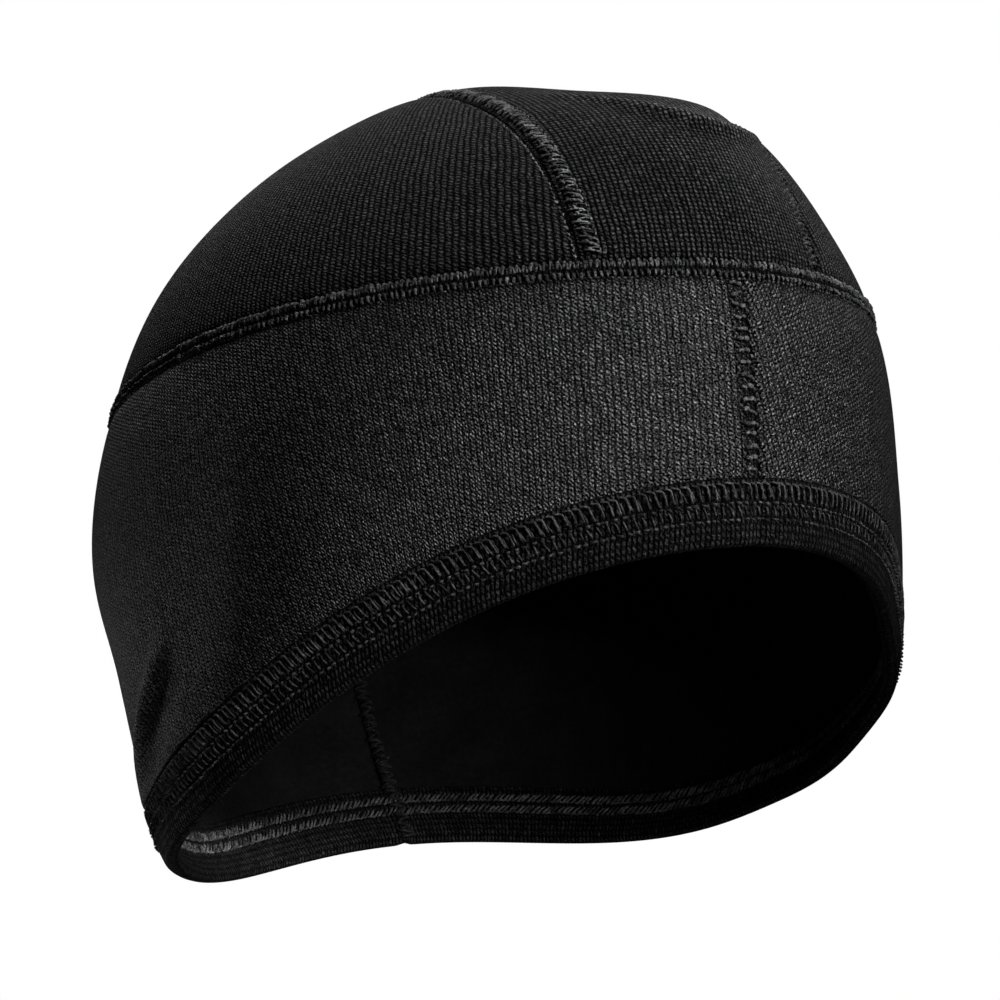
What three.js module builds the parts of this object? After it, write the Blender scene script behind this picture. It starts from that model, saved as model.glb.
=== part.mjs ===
// Helmet liner cap: a close-fitting thermal skull cap of brushed knit.
// A middle panel and two side panels make the crown, two halves make the band that covers
// the forehead, ears and nape, and a folded hem runs round the rim.
//
// Millimetres, +Z up. The face looks along -Y and +X is the wearer's left.
// Depths are measured down from the top of the crown, azimuths from the middle of the forehead.
import * as THREE from 'three';

// Cloth
const FABRIC_WALL = 2.0;
const HEM_WALL = 3.6;
const HEM_HEIGHT = 12.5;
const SEAM_GAP = 0.3;

// How far the cap reaches from the head's axis at its widest
const FRONT_REACH = 100;
const SIDE_REACH = 86.5;
const BACK_REACH = 102;

// Depth at which each side of the cap is widest
const FRONT_GIRTH_DEPTH = 89;
const SIDE_GIRTH_DEPTH = 122;
const BACK_GIRTH_DEPTH = 73;

// Below its widest, the cap tucks in by this much over this drop
const FRONT_TUCK = 2.1;
const FRONT_TUCK_DROP = 14;
const SIDE_TUCK = 6.2;
const SIDE_TUCK_DROP = 33;
const NAPE_TUCK = 40;
const NAPE_TUCK_DROP = 94.5;

// Depth of the rim at the forehead, the temples, the ears and the nape
const FOREHEAD_RIM_DEPTH = 103;
const TEMPLE_RIM_DEPTH = 136;
const EAR_RIM_DEPTH = 170;
const NAPE_RIM_DEPTH = 169;

// Depth of the seam between crown and band
const BAND_SEAM_FRONT_DEPTH = 52;
const BAND_SEAM_BACK_DEPTH = 70;

// Half width of the crown's middle panel at its ends and at the top
const STRIP_FRONT_HALF_WIDTH = 25.5;
const STRIP_TOP_HALF_WIDTH = 29;
const STRIP_BACK_HALF_WIDTH = 25.5;

// The hollow behind the ear, and the fuller place above it
const EAR_DENT = 5.7;
const EAR_DENT_DEPTH = 138;
const EAR_DENT_SPREAD = 28;
const EAR_BULGE = 3.2;
const EAR_BULGE_DEPTH = 88;
const EAR_BULGE_SPREAD = 30;

// How far the cloth swells between its seams, and how soon it does
const STRIP_PUFF = 0.8;
const SIDE_PUFF = 0.4;
const BAND_PUFF = 0.2;
const SEAM_SHOULDER = 9;

// The head's centre, round which the crown's panels are laid out
const CENTRE_DEPTH = BACK_GIRTH_DEPTH;

// Shapes that are not lengths
const FRONT_ROUNDNESS = 2.95;
const SIDE_ROUNDNESS = 2.75;
const BACK_ROUNDNESS = 2.35;
const FOREHEAD_PLAN_ROUNDNESS = 1.85;
const NAPE_PLAN_ROUNDNESS = 2.15;
const BAND_SEAM_FALL = 1.3;
const EAR_DENT_AZIMUTH = THREE.MathUtils.degToRad(120);
const EAR_DENT_TURN = THREE.MathUtils.degToRad(22);
const EAR_BULGE_TURN = THREE.MathUtils.degToRad(35);

// Facets
const STRIP_LENGTH_SEGMENTS = 32;
const STRIP_WIDTH_SEGMENTS = 8;
const CROWN_SIDE_SEGMENTS = 9;
const BAND_TURN_SEGMENTS = 28;
const BAND_HEIGHT_SEGMENTS = 8;
const HEM_TURN_SEGMENTS = 56;
const HEM_SIDE_SEGMENTS = 2;
const HEM_FOLD_SEGMENTS = 4;
const TRACE_SEGMENTS = 40;
const SOLVER_STEPS = 44;

const KNIT_COLOUR = 0x1c1d1f;
const HEM_COLOUR = 0x18191b;

const FRONT = {
  reach: FRONT_REACH,
  girthDepth: FRONT_GIRTH_DEPTH,
  roundness: FRONT_ROUNDNESS,
  tuck: FRONT_TUCK,
  tuckDrop: FRONT_TUCK_DROP,
};
const SIDE = {
  reach: SIDE_REACH,
  girthDepth: SIDE_GIRTH_DEPTH,
  roundness: SIDE_ROUNDNESS,
  tuck: SIDE_TUCK,
  tuckDrop: SIDE_TUCK_DROP,
};
const BACK = {
  reach: BACK_REACH,
  girthDepth: BACK_GIRTH_DEPTH,
  roundness: BACK_ROUNDNESS,
  tuck: NAPE_TUCK,
  tuckDrop: NAPE_TUCK_DROP,
};

const lerp = THREE.MathUtils.lerp;

// Halves an interval until it closes on the place where the test turns from true to false.
function solve(low, high, isBefore) {
  for (let step = 0; step < SOLVER_STEPS; step += 1) {
    const middle = (low + high) / 2;
    if (isBefore(middle)) low = middle;
    else high = middle;
  }
  return (low + high) / 2;
}

// Reach from the head's axis along one meridian.
function reachAt(meridian, depth) {
  const above = Math.max(1 - depth / meridian.girthDepth, 0);
  const below = Math.max(depth - meridian.girthDepth, 0) / meridian.tuckDrop;
  const dome = Math.max(1 - above ** meridian.roundness, 0) ** (1 / meridian.roundness);
  return meridian.reach * dome - meridian.tuck * below ** 2;
}

// A smooth patch that is 1 at its centre beside the ear and fades with turn and depth.
function earPatch(azimuth, depth, turn, centreDepth, spread) {
  const away = (Math.abs(azimuth) - EAR_DENT_AZIMUTH) / turn;
  const down = (depth - centreDepth) / spread;
  return Math.exp(-(away ** 2) - down ** 2);
}

// Distance of the cloth from the head's axis.
function radiusAt(azimuth, depth) {
  const cos = Math.cos(azimuth);
  const turned = (1 - cos) / 2;
  const power = lerp(FOREHEAD_PLAN_ROUNDNESS, NAPE_PLAN_ROUNDNESS, turned);
  const across = Math.max(reachAt(SIDE, depth), 1e-6);
  const along = Math.max(reachAt(cos > 0 ? FRONT : BACK, depth), 1e-6);
  const sum = (Math.abs(Math.sin(azimuth)) / across) ** power + (Math.abs(cos) / along) ** power;
  const dent = EAR_DENT * earPatch(azimuth, depth, EAR_DENT_TURN, EAR_DENT_DEPTH, EAR_DENT_SPREAD);
  const bulge = EAR_BULGE * earPatch(azimuth, depth, EAR_BULGE_TURN, EAR_BULGE_DEPTH, EAR_BULGE_SPREAD);
  return sum ** (-1 / power) - dent + bulge;
}

// A point of the head form before the cloth swells between its seams.
function formPoint(azimuth, depth) {
  const radius = radiusAt(azimuth, depth);
  return new THREE.Vector3(radius * Math.sin(azimuth), -radius * Math.cos(azimuth), -depth);
}

function azimuthOf(point) {
  return Math.atan2(point.x, -point.y);
}

// Outward direction of the head form.
function outwardAt(azimuth, depth) {
  const turn = 0.004;
  const drop = 0.3;
  const radius = Math.max(radiusAt(azimuth, depth), 1e-3);
  const upper = Math.max(depth - drop, 0);
  const turning = (radiusAt(azimuth + turn, depth) - radiusAt(azimuth - turn, depth)) / (2 * turn);
  const widening = (radiusAt(azimuth, depth + drop) - radiusAt(azimuth, upper)) / (depth + drop - upper);
  const sin = Math.sin(azimuth);
  const cos = Math.cos(azimuth);
  const slant = turning / radius;
  return new THREE.Vector3(sin - slant * cos, -cos - slant * sin, widening).normalize();
}

// The rim passes smoothly through its depths at forehead, temple, ear and nape.
function rimDepthAt(azimuth) {
  const f = FOREHEAD_RIM_DEPTH;
  const t = TEMPLE_RIM_DEPTH;
  const e = EAR_RIM_DEPTH;
  const n = NAPE_RIM_DEPTH;
  const level = (f + 2 * t + 2 * e + n) / 6;
  const tilt = ((f + t - e - n) / 3) * Math.cos(azimuth);
  const arch = ((f - t - e + n) / 3) * Math.cos(2 * azimuth);
  const wave = ((f - 2 * t + 2 * e - n) / 6) * Math.cos(3 * azimuth);
  return level + tilt + arch + wave;
}

// Depth of a line that runs a given height above the rim, measured square to the rim.
function depthAboveRim(azimuth, height) {
  const turn = 0.01;
  const rise = (rimDepthAt(azimuth + turn) - rimDepthAt(azimuth - turn)) / (2 * turn);
  const slope = rise / radiusAt(azimuth, rimDepthAt(azimuth));
  return rimDepthAt(azimuth) - height * Math.hypot(1, slope);
}

// The seam between crown and band stays high over the forehead and falls towards the back.
function bandSeamDepthAt(azimuth) {
  const turned = (1 - Math.cos(azimuth)) / 2;
  return lerp(BAND_SEAM_FRONT_DEPTH, BAND_SEAM_BACK_DEPTH, turned ** BAND_SEAM_FALL);
}

function stripHalfWidthAt(depth, isFront) {
  const end = isFront ? STRIP_FRONT_HALF_WIDTH : STRIP_BACK_HALF_WIDTH;
  const seamDepth = isFront ? BAND_SEAM_FRONT_DEPTH : BAND_SEAM_BACK_DEPTH;
  const climb = THREE.MathUtils.clamp(1 - depth / seamDepth, 0, 1);
  return lerp(end, STRIP_TOP_HALF_WIDTH, climb);
}

// How far the cloth swells off the head form, none at the seams.
function puffAt(point) {
  const depth = Math.max(-point.z, 0);
  const halfWidth = stripHalfWidthAt(depth, point.y < 0);
  const aboveSeam = bandSeamDepthAt(azimuthOf(point)) - depth;
  const fade = 1 - Math.exp(-Math.abs(aboveSeam) / SEAM_SHOULDER);
  if (aboveSeam < 0) return BAND_PUFF * fade;
  const beside = Math.abs(point.x) - halfWidth;
  if (beside < 0) return STRIP_PUFF * (1 - (point.x / halfWidth) ** 2) * fade;
  return SIDE_PUFF * (1 - Math.exp(-beside / SEAM_SHOULDER)) * fade;
}

// The cloth over a point of the head form, at a distance in from its outer face.
function clothPoint(formed, inward) {
  const outward = outwardAt(azimuthOf(formed), Math.max(-formed.z, 0));
  return formed.clone().addScaledVector(outward, puffAt(formed) - inward);
}

// A line of points traced over the form, from share 0 to share 1.
function trace(pointAt) {
  const points = [];
  for (let step = 0; step <= TRACE_SEGMENTS; step += 1) points.push(pointAt(step / TRACE_SEGMENTS));
  return points;
}

// Even steps along a traced line, with its two ends trimmed.
function evenSteps(line, startTrim, endTrim, segments) {
  const lengths = [0];
  for (let index = 1; index < line.length; index += 1) {
    lengths.push(lengths[index - 1] + line[index].distanceTo(line[index - 1]));
  }
  const total = lengths[lengths.length - 1];
  const points = [];
  let index = 1;
  for (let step = 0; step <= segments; step += 1) {
    const wanted = lerp(startTrim, total - endTrim, step / segments);
    while (index < line.length - 1 && lengths[index] < wanted) index += 1;
    const share = (wanted - lengths[index - 1]) / (lengths[index] - lengths[index - 1]);
    points.push(line[index - 1].clone().lerp(line[index], share));
  }
  return points;
}

// Joins closed loops of points into one body. A ring's last loop joins its first, and otherwise
// the first and last loops are capped.
function bodyFromLoops(loops, isRing) {
  const perLoop = loops[0].length;
  const positions = [];
  const indices = [];
  for (const loop of loops) {
    for (const point of loop) positions.push(point.x, point.y, point.z);
  }
  const spans = isRing ? loops.length : loops.length - 1;
  for (let i = 0; i < spans; i += 1) {
    const next = (i + 1) % loops.length;
    for (let j = 0; j < perLoop; j += 1) {
      const k = (j + 1) % perLoop;
      const a = i * perLoop + j;
      const b = next * perLoop + j;
      const c = next * perLoop + k;
      const d = i * perLoop + k;
      indices.push(a, b, c, a, c, d);
    }
  }
  if (!isRing) {
    const half = perLoop / 2;
    const last = (loops.length - 1) * perLoop;
    for (let j = 0; j < half - 1; j += 1) {
      const inner = perLoop - 1 - j;
      indices.push(j, j + 1, inner - 1, j, inner - 1, inner);
      indices.push(last + j, last + inner, last + inner - 1, last + j, last + inner - 1, last + j + 1);
    }
  }
  const geometry = new THREE.BufferGeometry();
  geometry.setAttribute('position', new THREE.Float32BufferAttribute(positions, 3));
  geometry.setIndex(facingOut(positions, indices));
  geometry.computeVertexNormals();
  return geometry;
}

// Turns every triangle over when the body they enclose would be inside out.
function facingOut(positions, indices) {
  const corner = (index) => new THREE.Vector3().fromArray(positions, 3 * index);
  let volume = 0;
  for (let i = 0; i < indices.length; i += 3) {
    const [a, b, c] = [corner(indices[i]), corner(indices[i + 1]), corner(indices[i + 2])];
    volume += a.dot(b.cross(c));
  }
  return volume > 0 ? indices : indices.reverse();
}

// A cloth panel: the outer face of each row, then the inner face on the way back.
function panelFromRows(rows) {
  const loops = rows.map((row) => {
    const outer = row.map((formed) => clothPoint(formed, 0));
    const inner = row.map((formed) => clothPoint(formed, FABRIC_WALL));
    return [...outer, ...inner.reverse()];
  });
  return bodyFromLoops(loops, false);
}

// Azimuth at which the band seam stands a given distance off the middle plane.
function bandSeamAzimuth(offset, isFront) {
  const reached = (turn) => {
    const azimuth = isFront ? turn : Math.PI - turn;
    return radiusAt(azimuth, bandSeamDepthAt(azimuth)) * Math.sin(azimuth);
  };
  const turn = solve(0, Math.PI / 2, (trial) => reached(trial) < Math.abs(offset));
  return (isFront ? turn : Math.PI - turn) * Math.sign(offset || 1);
}

// Angle of a point above the level of CENTRE_DEPTH, seen from the side.
function elevationOf(point) {
  return Math.atan2(point.z + CENTRE_DEPTH, -point.y);
}

// A point of the crown where a ray in a lengthwise plane meets the form.
// side runs from -1 to 1 across the middle panel.
function crownPoint(side, elevation) {
  const place = (length) => {
    const y = -length * Math.cos(elevation);
    const z = length * Math.sin(elevation) - CENTRE_DEPTH;
    return new THREE.Vector3(side * stripHalfWidthAt(-z, y < 0), y, z);
  };
  const isInside = (length) => {
    const point = place(length);
    return point.z < 0 && Math.hypot(point.x, point.y) < radiusAt(azimuthOf(point), -point.z);
  };
  return place(solve(0, FRONT_REACH + BACK_REACH, isInside));
}

// A line over the crown from the band seam in front to the band seam behind.
function crownLine(side) {
  const ends = [true, false].map((isFront) => {
    const width = isFront ? STRIP_FRONT_HALF_WIDTH : STRIP_BACK_HALF_WIDTH;
    const azimuth = bandSeamAzimuth(side * width, isFront);
    return elevationOf(formPoint(azimuth, bandSeamDepthAt(azimuth)));
  });
  return trace((share) => crownPoint(side, lerp(ends[0], ends[1], share)));
}

function crownCenter() {
  const lines = [];
  for (let step = 0; step <= STRIP_WIDTH_SEGMENTS; step += 1) {
    const side = lerp(-1, 1, step / STRIP_WIDTH_SEGMENTS);
    lines.push(evenSteps(crownLine(side), SEAM_GAP / 2, SEAM_GAP / 2, STRIP_LENGTH_SEGMENTS));
  }
  const rows = lines[0].map((_, index) => {
    const across = lines.map((line) => line[index]);
    return evenSteps(across, SEAM_GAP / 2, SEAM_GAP / 2, STRIP_WIDTH_SEGMENTS);
  });
  return panelFromRows(rows);
}

// A side panel hangs in columns from the crown seam down to the band seam.
function crownSide(side) {
  const tip = 4 * FABRIC_WALL;
  const seam = evenSteps(crownLine(side), tip, tip, STRIP_LENGTH_SEGMENTS);
  const rows = seam.map((top) => {
    const azimuth = azimuthOf(top);
    const bottomDepth = bandSeamDepthAt(azimuth);
    const column = trace((share) => formPoint(azimuth, lerp(-top.z, bottomDepth, share)));
    return evenSteps(column, SEAM_GAP / 2, SEAM_GAP / 2, CROWN_SIDE_SEGMENTS);
  });
  return panelFromRows(rows);
}

function bandHalf(side) {
  const rows = [];
  const trim = SEAM_GAP / 2;
  for (let step = 0; step <= BAND_TURN_SEGMENTS; step += 1) {
    const start = trim / FRONT_REACH;
    const end = Math.PI - trim / radiusAt(Math.PI, NAPE_RIM_DEPTH);
    const azimuth = side * lerp(start, end, step / BAND_TURN_SEGMENTS);
    const bottomDepth = depthAboveRim(azimuth, HEM_HEIGHT);
    const column = trace((share) => formPoint(azimuth, lerp(bandSeamDepthAt(azimuth), bottomDepth, share)));
    rows.push(evenSteps(column, trim, SEAM_GAP, BAND_HEIGHT_SEGMENTS));
  }
  return panelFromRows(rows);
}

// The cloth is folded in on itself at the rim, so the hem is a thick strip with a round fold.
function rimHem() {
  const foldRadius = HEM_WALL / 2;
  const section = [];
  for (let step = 0; step <= HEM_SIDE_SEGMENTS; step += 1) {
    section.push({ height: lerp(HEM_HEIGHT, foldRadius, step / HEM_SIDE_SEGMENTS), inward: 0 });
  }
  for (let step = 1; step < HEM_FOLD_SEGMENTS; step += 1) {
    const turn = (Math.PI * step) / HEM_FOLD_SEGMENTS;
    section.push({
      height: foldRadius * (1 - Math.sin(turn)),
      inward: foldRadius * (1 - Math.cos(turn)),
    });
  }
  for (let step = HEM_SIDE_SEGMENTS; step >= 0; step -= 1) {
    section.push({ height: lerp(HEM_HEIGHT, foldRadius, step / HEM_SIDE_SEGMENTS), inward: HEM_WALL });
  }
  const loops = [];
  for (let step = 0; step < HEM_TURN_SEGMENTS; step += 1) {
    const azimuth = lerp(-Math.PI, Math.PI, step / HEM_TURN_SEGMENTS);
    loops.push(section.map(({ height, inward }) => {
      return clothPoint(formPoint(azimuth, depthAboveRim(azimuth, height)), inward);
    }));
  }
  return bodyFromLoops(loops, true);
}

function knitMesh(name, geometry, color) {
  const material = new THREE.MeshStandardMaterial({ color, roughness: 0.95, metalness: 0 });
  const mesh = new THREE.Mesh(geometry, material);
  mesh.name = name;
  return mesh;
}

const WEARERS_LEFT = 1;
const WEARERS_RIGHT = -1;

const cap = new THREE.Group();
cap.add(knitMesh('crown_center', crownCenter(), KNIT_COLOUR));
cap.add(knitMesh('crown_left', crownSide(WEARERS_LEFT), KNIT_COLOUR));
cap.add(knitMesh('crown_right', crownSide(WEARERS_RIGHT), KNIT_COLOUR));
cap.add(knitMesh('band_left', bandHalf(WEARERS_LEFT), KNIT_COLOUR));
cap.add(knitMesh('band_right', bandHalf(WEARERS_RIGHT), KNIT_COLOUR));
cap.add(knitMesh('rim_hem', rimHem(), HEM_COLOUR));

// The origin is where the top of the head meets the inside of the crown.
cap.position.z = -clothPoint(new THREE.Vector3(0, 0, 0), FABRIC_WALL).z;

export default cap;
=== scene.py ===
"""Helmet liner cap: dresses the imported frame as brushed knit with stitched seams.

The cap is six sewn pieces of cloth. Each class below holds one sub-assembly's sizes as fields, builds its
meshes and gives them their finish. Lengths are metres, depths run down from the top of the head form, and
azimuths turn from the middle of the forehead towards the wearer's left. The face looks along -Y.
"""
import logging
import math
from dataclasses import dataclass, field
from enum import Enum
from typing import Callable

import bpy
import numpy as np
from mathutils import Matrix, Vector


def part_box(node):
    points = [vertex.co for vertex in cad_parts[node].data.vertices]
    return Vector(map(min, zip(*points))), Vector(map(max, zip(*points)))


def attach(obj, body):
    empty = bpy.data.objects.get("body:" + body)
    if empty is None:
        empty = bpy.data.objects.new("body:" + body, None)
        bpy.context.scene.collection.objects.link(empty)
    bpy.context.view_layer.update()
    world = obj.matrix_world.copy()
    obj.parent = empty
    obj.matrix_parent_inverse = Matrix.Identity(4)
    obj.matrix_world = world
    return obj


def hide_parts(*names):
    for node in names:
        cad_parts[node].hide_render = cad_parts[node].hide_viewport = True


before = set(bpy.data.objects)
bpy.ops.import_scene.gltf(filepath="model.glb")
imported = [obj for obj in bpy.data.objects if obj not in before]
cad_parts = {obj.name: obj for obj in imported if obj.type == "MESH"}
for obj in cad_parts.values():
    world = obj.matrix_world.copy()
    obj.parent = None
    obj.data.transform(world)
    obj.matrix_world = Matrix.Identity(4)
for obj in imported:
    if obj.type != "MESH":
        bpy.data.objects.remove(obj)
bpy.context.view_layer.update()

logging.basicConfig(level=logging.INFO, format="%(message)s")
log = logging.getLogger("liner_cap")

Array = np.ndarray
MM = 0.001
BODY = "root"
UP = np.array([0.0, 0.0, 1.0])
HALVINGS = 40
SEAM_HALVINGS = 44
DRAFT_POINTS = 61
ROUND_POINTS = 721
EDGE_EASE = 0.7
THREAD_END_TAPER = 0.45
SWAY_SCALE = 130.0
TREMBLE_SCALE = 800.0
FIBRE_SCALE = 2700.0
PLY_SCALE = 2000.0
PATCH_SCALE = 420.0
TUFT_SCALE = 800.0
SWIRL_SCALE = 90.0


class Wearer(Enum):
    """A side of the wearer's head, with the sign of its X."""

    LEFT = 1
    RIGHT = -1


class Cloth(Enum):
    """Material slots of a cloth mesh."""

    FACE = 0
    PILE = 1


def unit(vectors: Array) -> Array:
    """Scales vectors to length one.

    Args:
        vectors: any array whose last axis is X, Y, Z.

    Returns:
        The same array with each vector's length one.
    """
    return vectors / np.maximum(np.linalg.norm(vectors, axis=-1, keepdims=True), 1e-12)


def smooth_step(low: float, high: float, value: Array) -> Array:
    """Rises smoothly from 0 at low to 1 at high."""
    share = np.clip((value - low) / (high - low), 0.0, 1.0)
    return share * share * (3.0 - 2.0 * share)


def arc_lengths(line: Array) -> Array:
    """Distance along a line of points.

    Args:
        line: points, one a row.

    Returns:
        The distance from the first point to each point.
    """
    steps = np.linalg.norm(np.diff(line, axis=0), axis=1)
    return np.concatenate([[0.0], np.cumsum(steps)])


def even_steps(line: Array, start_trim: float, end_trim: float, segments: int, ease: float = 0.0) -> Array:
    """Takes even steps along a line whose ends are trimmed.

    Args:
        line: points, one a row.
        start_trim: length taken off the start.
        end_trim: length taken off the end.
        segments: number of steps.
        ease: how much shorter the steps are near the ends, from 0 to 1.

    Returns:
        The points at the steps.
    """
    lengths = arc_lengths(line)
    share = np.linspace(0.0, 1.0, segments + 1)
    share = share - ease * np.sin(2.0 * math.pi * share) / (2.0 * math.pi)
    wanted = start_trim + (lengths[-1] - end_trim - start_trim) * share
    return np.stack([np.interp(wanted, lengths, line[:, axis]) for axis in range(3)], axis=1)


@dataclass(frozen=True)
class Meridian:
    """How far the head form reaches along one side, down its depth."""

    reach: float
    girth_depth: float
    roundness: float
    tuck: float
    tuck_drop: float

    def reach_at(self, depth: Array) -> Array:
        """Reach from the head's axis.

        Args:
            depth: depths below the top of the form.

        Returns:
            The reach at each depth.
        """
        above = np.maximum(1.0 - depth / self.girth_depth, 0.0)
        below = np.maximum(depth - self.girth_depth, 0.0) / self.tuck_drop
        dome = np.maximum(1.0 - above**self.roundness, 0.0) ** (1.0 / self.roundness)
        return self.reach * dome - self.tuck * below**2


@dataclass(frozen=True)
class EarPatch:
    """A smooth hollow or swelling beside the ear, on both sides of the head."""

    height: float
    azimuth: float
    turn: float
    depth: float
    spread: float

    def lift(self, azimuth: Array, depth: Array) -> Array:
        """How far the patch moves the form outwards.

        Args:
            azimuth: turns from the middle of the forehead.
            depth: depths below the top of the form.

        Returns:
            The distance at each place.
        """
        away = (np.abs(azimuth) - self.azimuth) / self.turn
        down = (depth - self.depth) / self.spread
        return self.height * np.exp(-(away**2) - down**2)


@dataclass(frozen=True)
class Slack:
    """A broad place where the worn cloth stands off the form, or lies inside it if its height is negative.

    Its azimuth and turn are in degrees, and its lengths in millimetres.
    """

    height: float
    azimuth: float
    turn: float
    depth: float
    spread: float

    def lift(self, azimuth: Array, depth: Array) -> Array:
        """How far the cloth is moved outwards.

        Args:
            azimuth: turns from the middle of the forehead.
            depth: depths below the top of the form.

        Returns:
            The distance at each place.
        """
        away = (azimuth - math.radians(self.azimuth)) / math.radians(self.turn)
        down = (depth - self.depth * MM) / (self.spread * MM)
        return self.height * MM * np.exp(-(away**2) - down**2)


@dataclass(frozen=True)
class Fold:
    """A soft ridge, or a crease where its height is negative, along a short line on the cloth. Its painted
    highlight brightens the cloth's colour along the crest.
    """

    start: tuple[float, float, float]
    end: tuple[float, float, float]
    bow: tuple[float, float, float]
    height: float
    width: float
    # Strength of the painted highlight along the crest.
    painted_highlight: float = 0.0

    def share(self, points: Array) -> Array:
        """How near places are to the fold's crest.

        Args:
            points: places on the head form.

        Returns:
            A share for each place, up to 1, fading across the fold and past its ends.
        """
        first = np.array(self.start)
        along = np.array(self.end) - first
        share = np.clip(((points - first) @ along) / (along @ along), 0.0, 1.0)
        for _ in range(3):
            bowed = (4.0 * share * (1.0 - share))[..., None] * np.array(self.bow)
            share = np.clip(((points - bowed - first) @ along) / (along @ along), 0.0, 1.0)
            nearest = first + share[..., None] * along + bowed
        away = np.linalg.norm(points - nearest, axis=-1) / self.width
        taper = 0.35 + 0.65 * np.sin(np.pi * share)
        return taper * np.exp(-(away**2))

    def lift(self, points: Array) -> Array:
        """How far the fold moves the cloth outwards."""
        return self.height * self.share(points)


@dataclass
class HeadForm:
    """The form that the cap has on a head, and how its cloth lies over it."""

    front: Meridian
    side: Meridian
    back: Meridian
    top: float
    forehead_plan_roundness: float = 1.85
    nape_plan_roundness: float = 2.15
    forehead_rim_depth: float = 103.0 * MM
    temple_rim_depth: float = 136.0 * MM
    ear_rim_depth: float = 169.4 * MM
    nape_rim_depth: float = 168.2 * MM
    band_seam_front_depth: float = 52.0 * MM
    band_seam_back_depth: float = 70.0 * MM
    band_seam_fall: float = 1.3
    strip_front_half_width: float = 25.5 * MM
    strip_top_half_width: float = 29.0 * MM
    strip_back_half_width: float = 25.5 * MM
    strip_puff: float = 0.8 * MM
    side_puff: float = 0.4 * MM
    band_puff: float = 0.2 * MM
    seam_shoulder: float = 9.0 * MM
    fabric_wall: float = 2.0 * MM
    hem_wall: float = 3.6 * MM
    hem_height: float = 12.5 * MM
    ear_patches: list[EarPatch] = field(default_factory=list)
    folds: list[Fold] = field(default_factory=list)
    slacks: list[Slack] = field(default_factory=list)
    worn_turn: float = -2.0 * MM
    front_turn: float = 1.2 * MM
    seam_dip: float = 0.9 * MM
    band_dip_width: float = 2.2 * MM
    panel_dip_width: float = 1.3 * MM
    # Painted shade beside the seams: the spans over which the cloth's colour comes back from its darkest in
    # the seam grooves, and the share of colour kept under the ladders of thread.
    band_shade: tuple[float, float] = (1.5 * MM, 2.9 * MM)
    strip_shade: tuple[float, float] = (0.5 * MM, 1.8 * MM)
    ladder_shade: tuple[float, float] = (3.2 * MM, 4.2 * MM)
    ladder_light: float = 0.65
    middle_shade: tuple[float, float] = (0.3 * MM, 0.9 * MM)
    middle_ladder_shade: tuple[float, float] = (3.3 * MM, 4.0 * MM)
    middle_ladder_light: float = 0.35

    def radius(self, azimuth: Array, depth: Array) -> Array:
        """Distance of the form from the head's axis.

        Args:
            azimuth: turns from the middle of the forehead.
            depth: depths below the top of the form.

        Returns:
            The distance at each place.
        """
        cos = np.cos(azimuth)
        turned = (1.0 - cos) / 2.0
        growth = self.nape_plan_roundness - self.forehead_plan_roundness
        power = self.forehead_plan_roundness + growth * turned
        across = np.maximum(self.side.reach_at(depth), 1e-9)
        along = np.where(cos > 0.0, self.front.reach_at(depth), self.back.reach_at(depth))
        along = np.maximum(along, 1e-9)
        total = (np.abs(np.sin(azimuth)) / across) ** power + (np.abs(cos) / along) ** power
        patches = sum(patch.lift(azimuth, depth) for patch in self.ear_patches)
        return total ** (-1.0 / power) + patches

    def point(self, azimuth: Array, depth: Array) -> Array:
        """Places on the form, before the cloth swells between its seams."""
        radius = self.radius(azimuth, depth)
        return np.stack([radius * np.sin(azimuth), -radius * np.cos(azimuth), -depth + 0.0 * radius], axis=-1)

    def outward(self, azimuth: Array, depth: Array) -> Array:
        """Unit directions out of the form.

        Args:
            azimuth: turns from the middle of the forehead.
            depth: depths below the top of the form.

        Returns:
            One direction for each place.
        """
        turn = 0.004
        drop = 0.3 * MM
        radius = np.maximum(self.radius(azimuth, depth), 1e-6)
        upper = np.maximum(depth - drop, 0.0)
        turning = (self.radius(azimuth + turn, depth) - self.radius(azimuth - turn, depth)) / (2.0 * turn)
        widening = (self.radius(azimuth, depth + drop) - self.radius(azimuth, upper)) / (depth + drop - upper)
        slant = turning / radius
        sin, cos = np.sin(azimuth), np.cos(azimuth)
        return unit(np.stack([sin - slant * cos, -cos - slant * sin, widening], axis=-1))

    def rim_depth(self, azimuth: Array) -> Array:
        """Depth of the rim, which passes smoothly through forehead, temple, ear and nape.

        Args:
            azimuth: turns from the middle of the forehead.

        Returns:
            The depth at each azimuth.
        """
        f, t, e, n = self.forehead_rim_depth, self.temple_rim_depth, self.ear_rim_depth, self.nape_rim_depth
        level = (f + 2.0 * t + 2.0 * e + n) / 6.0
        tilt = (f + t - e - n) / 3.0 * np.cos(azimuth)
        arch = (f - t - e + n) / 3.0 * np.cos(2.0 * azimuth)
        wave = (f - 2.0 * t + 2.0 * e - n) / 6.0 * np.cos(3.0 * azimuth)
        return level + tilt + arch + wave

    def depth_above_rim(self, azimuth: Array, height: Array) -> Array:
        """Depth of a place at a height above the rim, measured square to the rim.

        Args:
            azimuth: turns from the middle of the forehead.
            height: heights above the rim.

        Returns:
            The depth at each place.
        """
        turn = 0.01
        rise = (self.rim_depth(azimuth + turn) - self.rim_depth(azimuth - turn)) / (2.0 * turn)
        slope = rise / self.radius(azimuth, self.rim_depth(azimuth))
        return self.rim_depth(azimuth) - height * np.hypot(1.0, slope)

    def band_seam_depth(self, azimuth: Array) -> Array:
        """Depth of the seam between crown and band."""
        turned = ((1.0 - np.cos(azimuth)) / 2.0) ** self.band_seam_fall
        return self.band_seam_front_depth + (self.band_seam_back_depth - self.band_seam_front_depth) * turned

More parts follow.
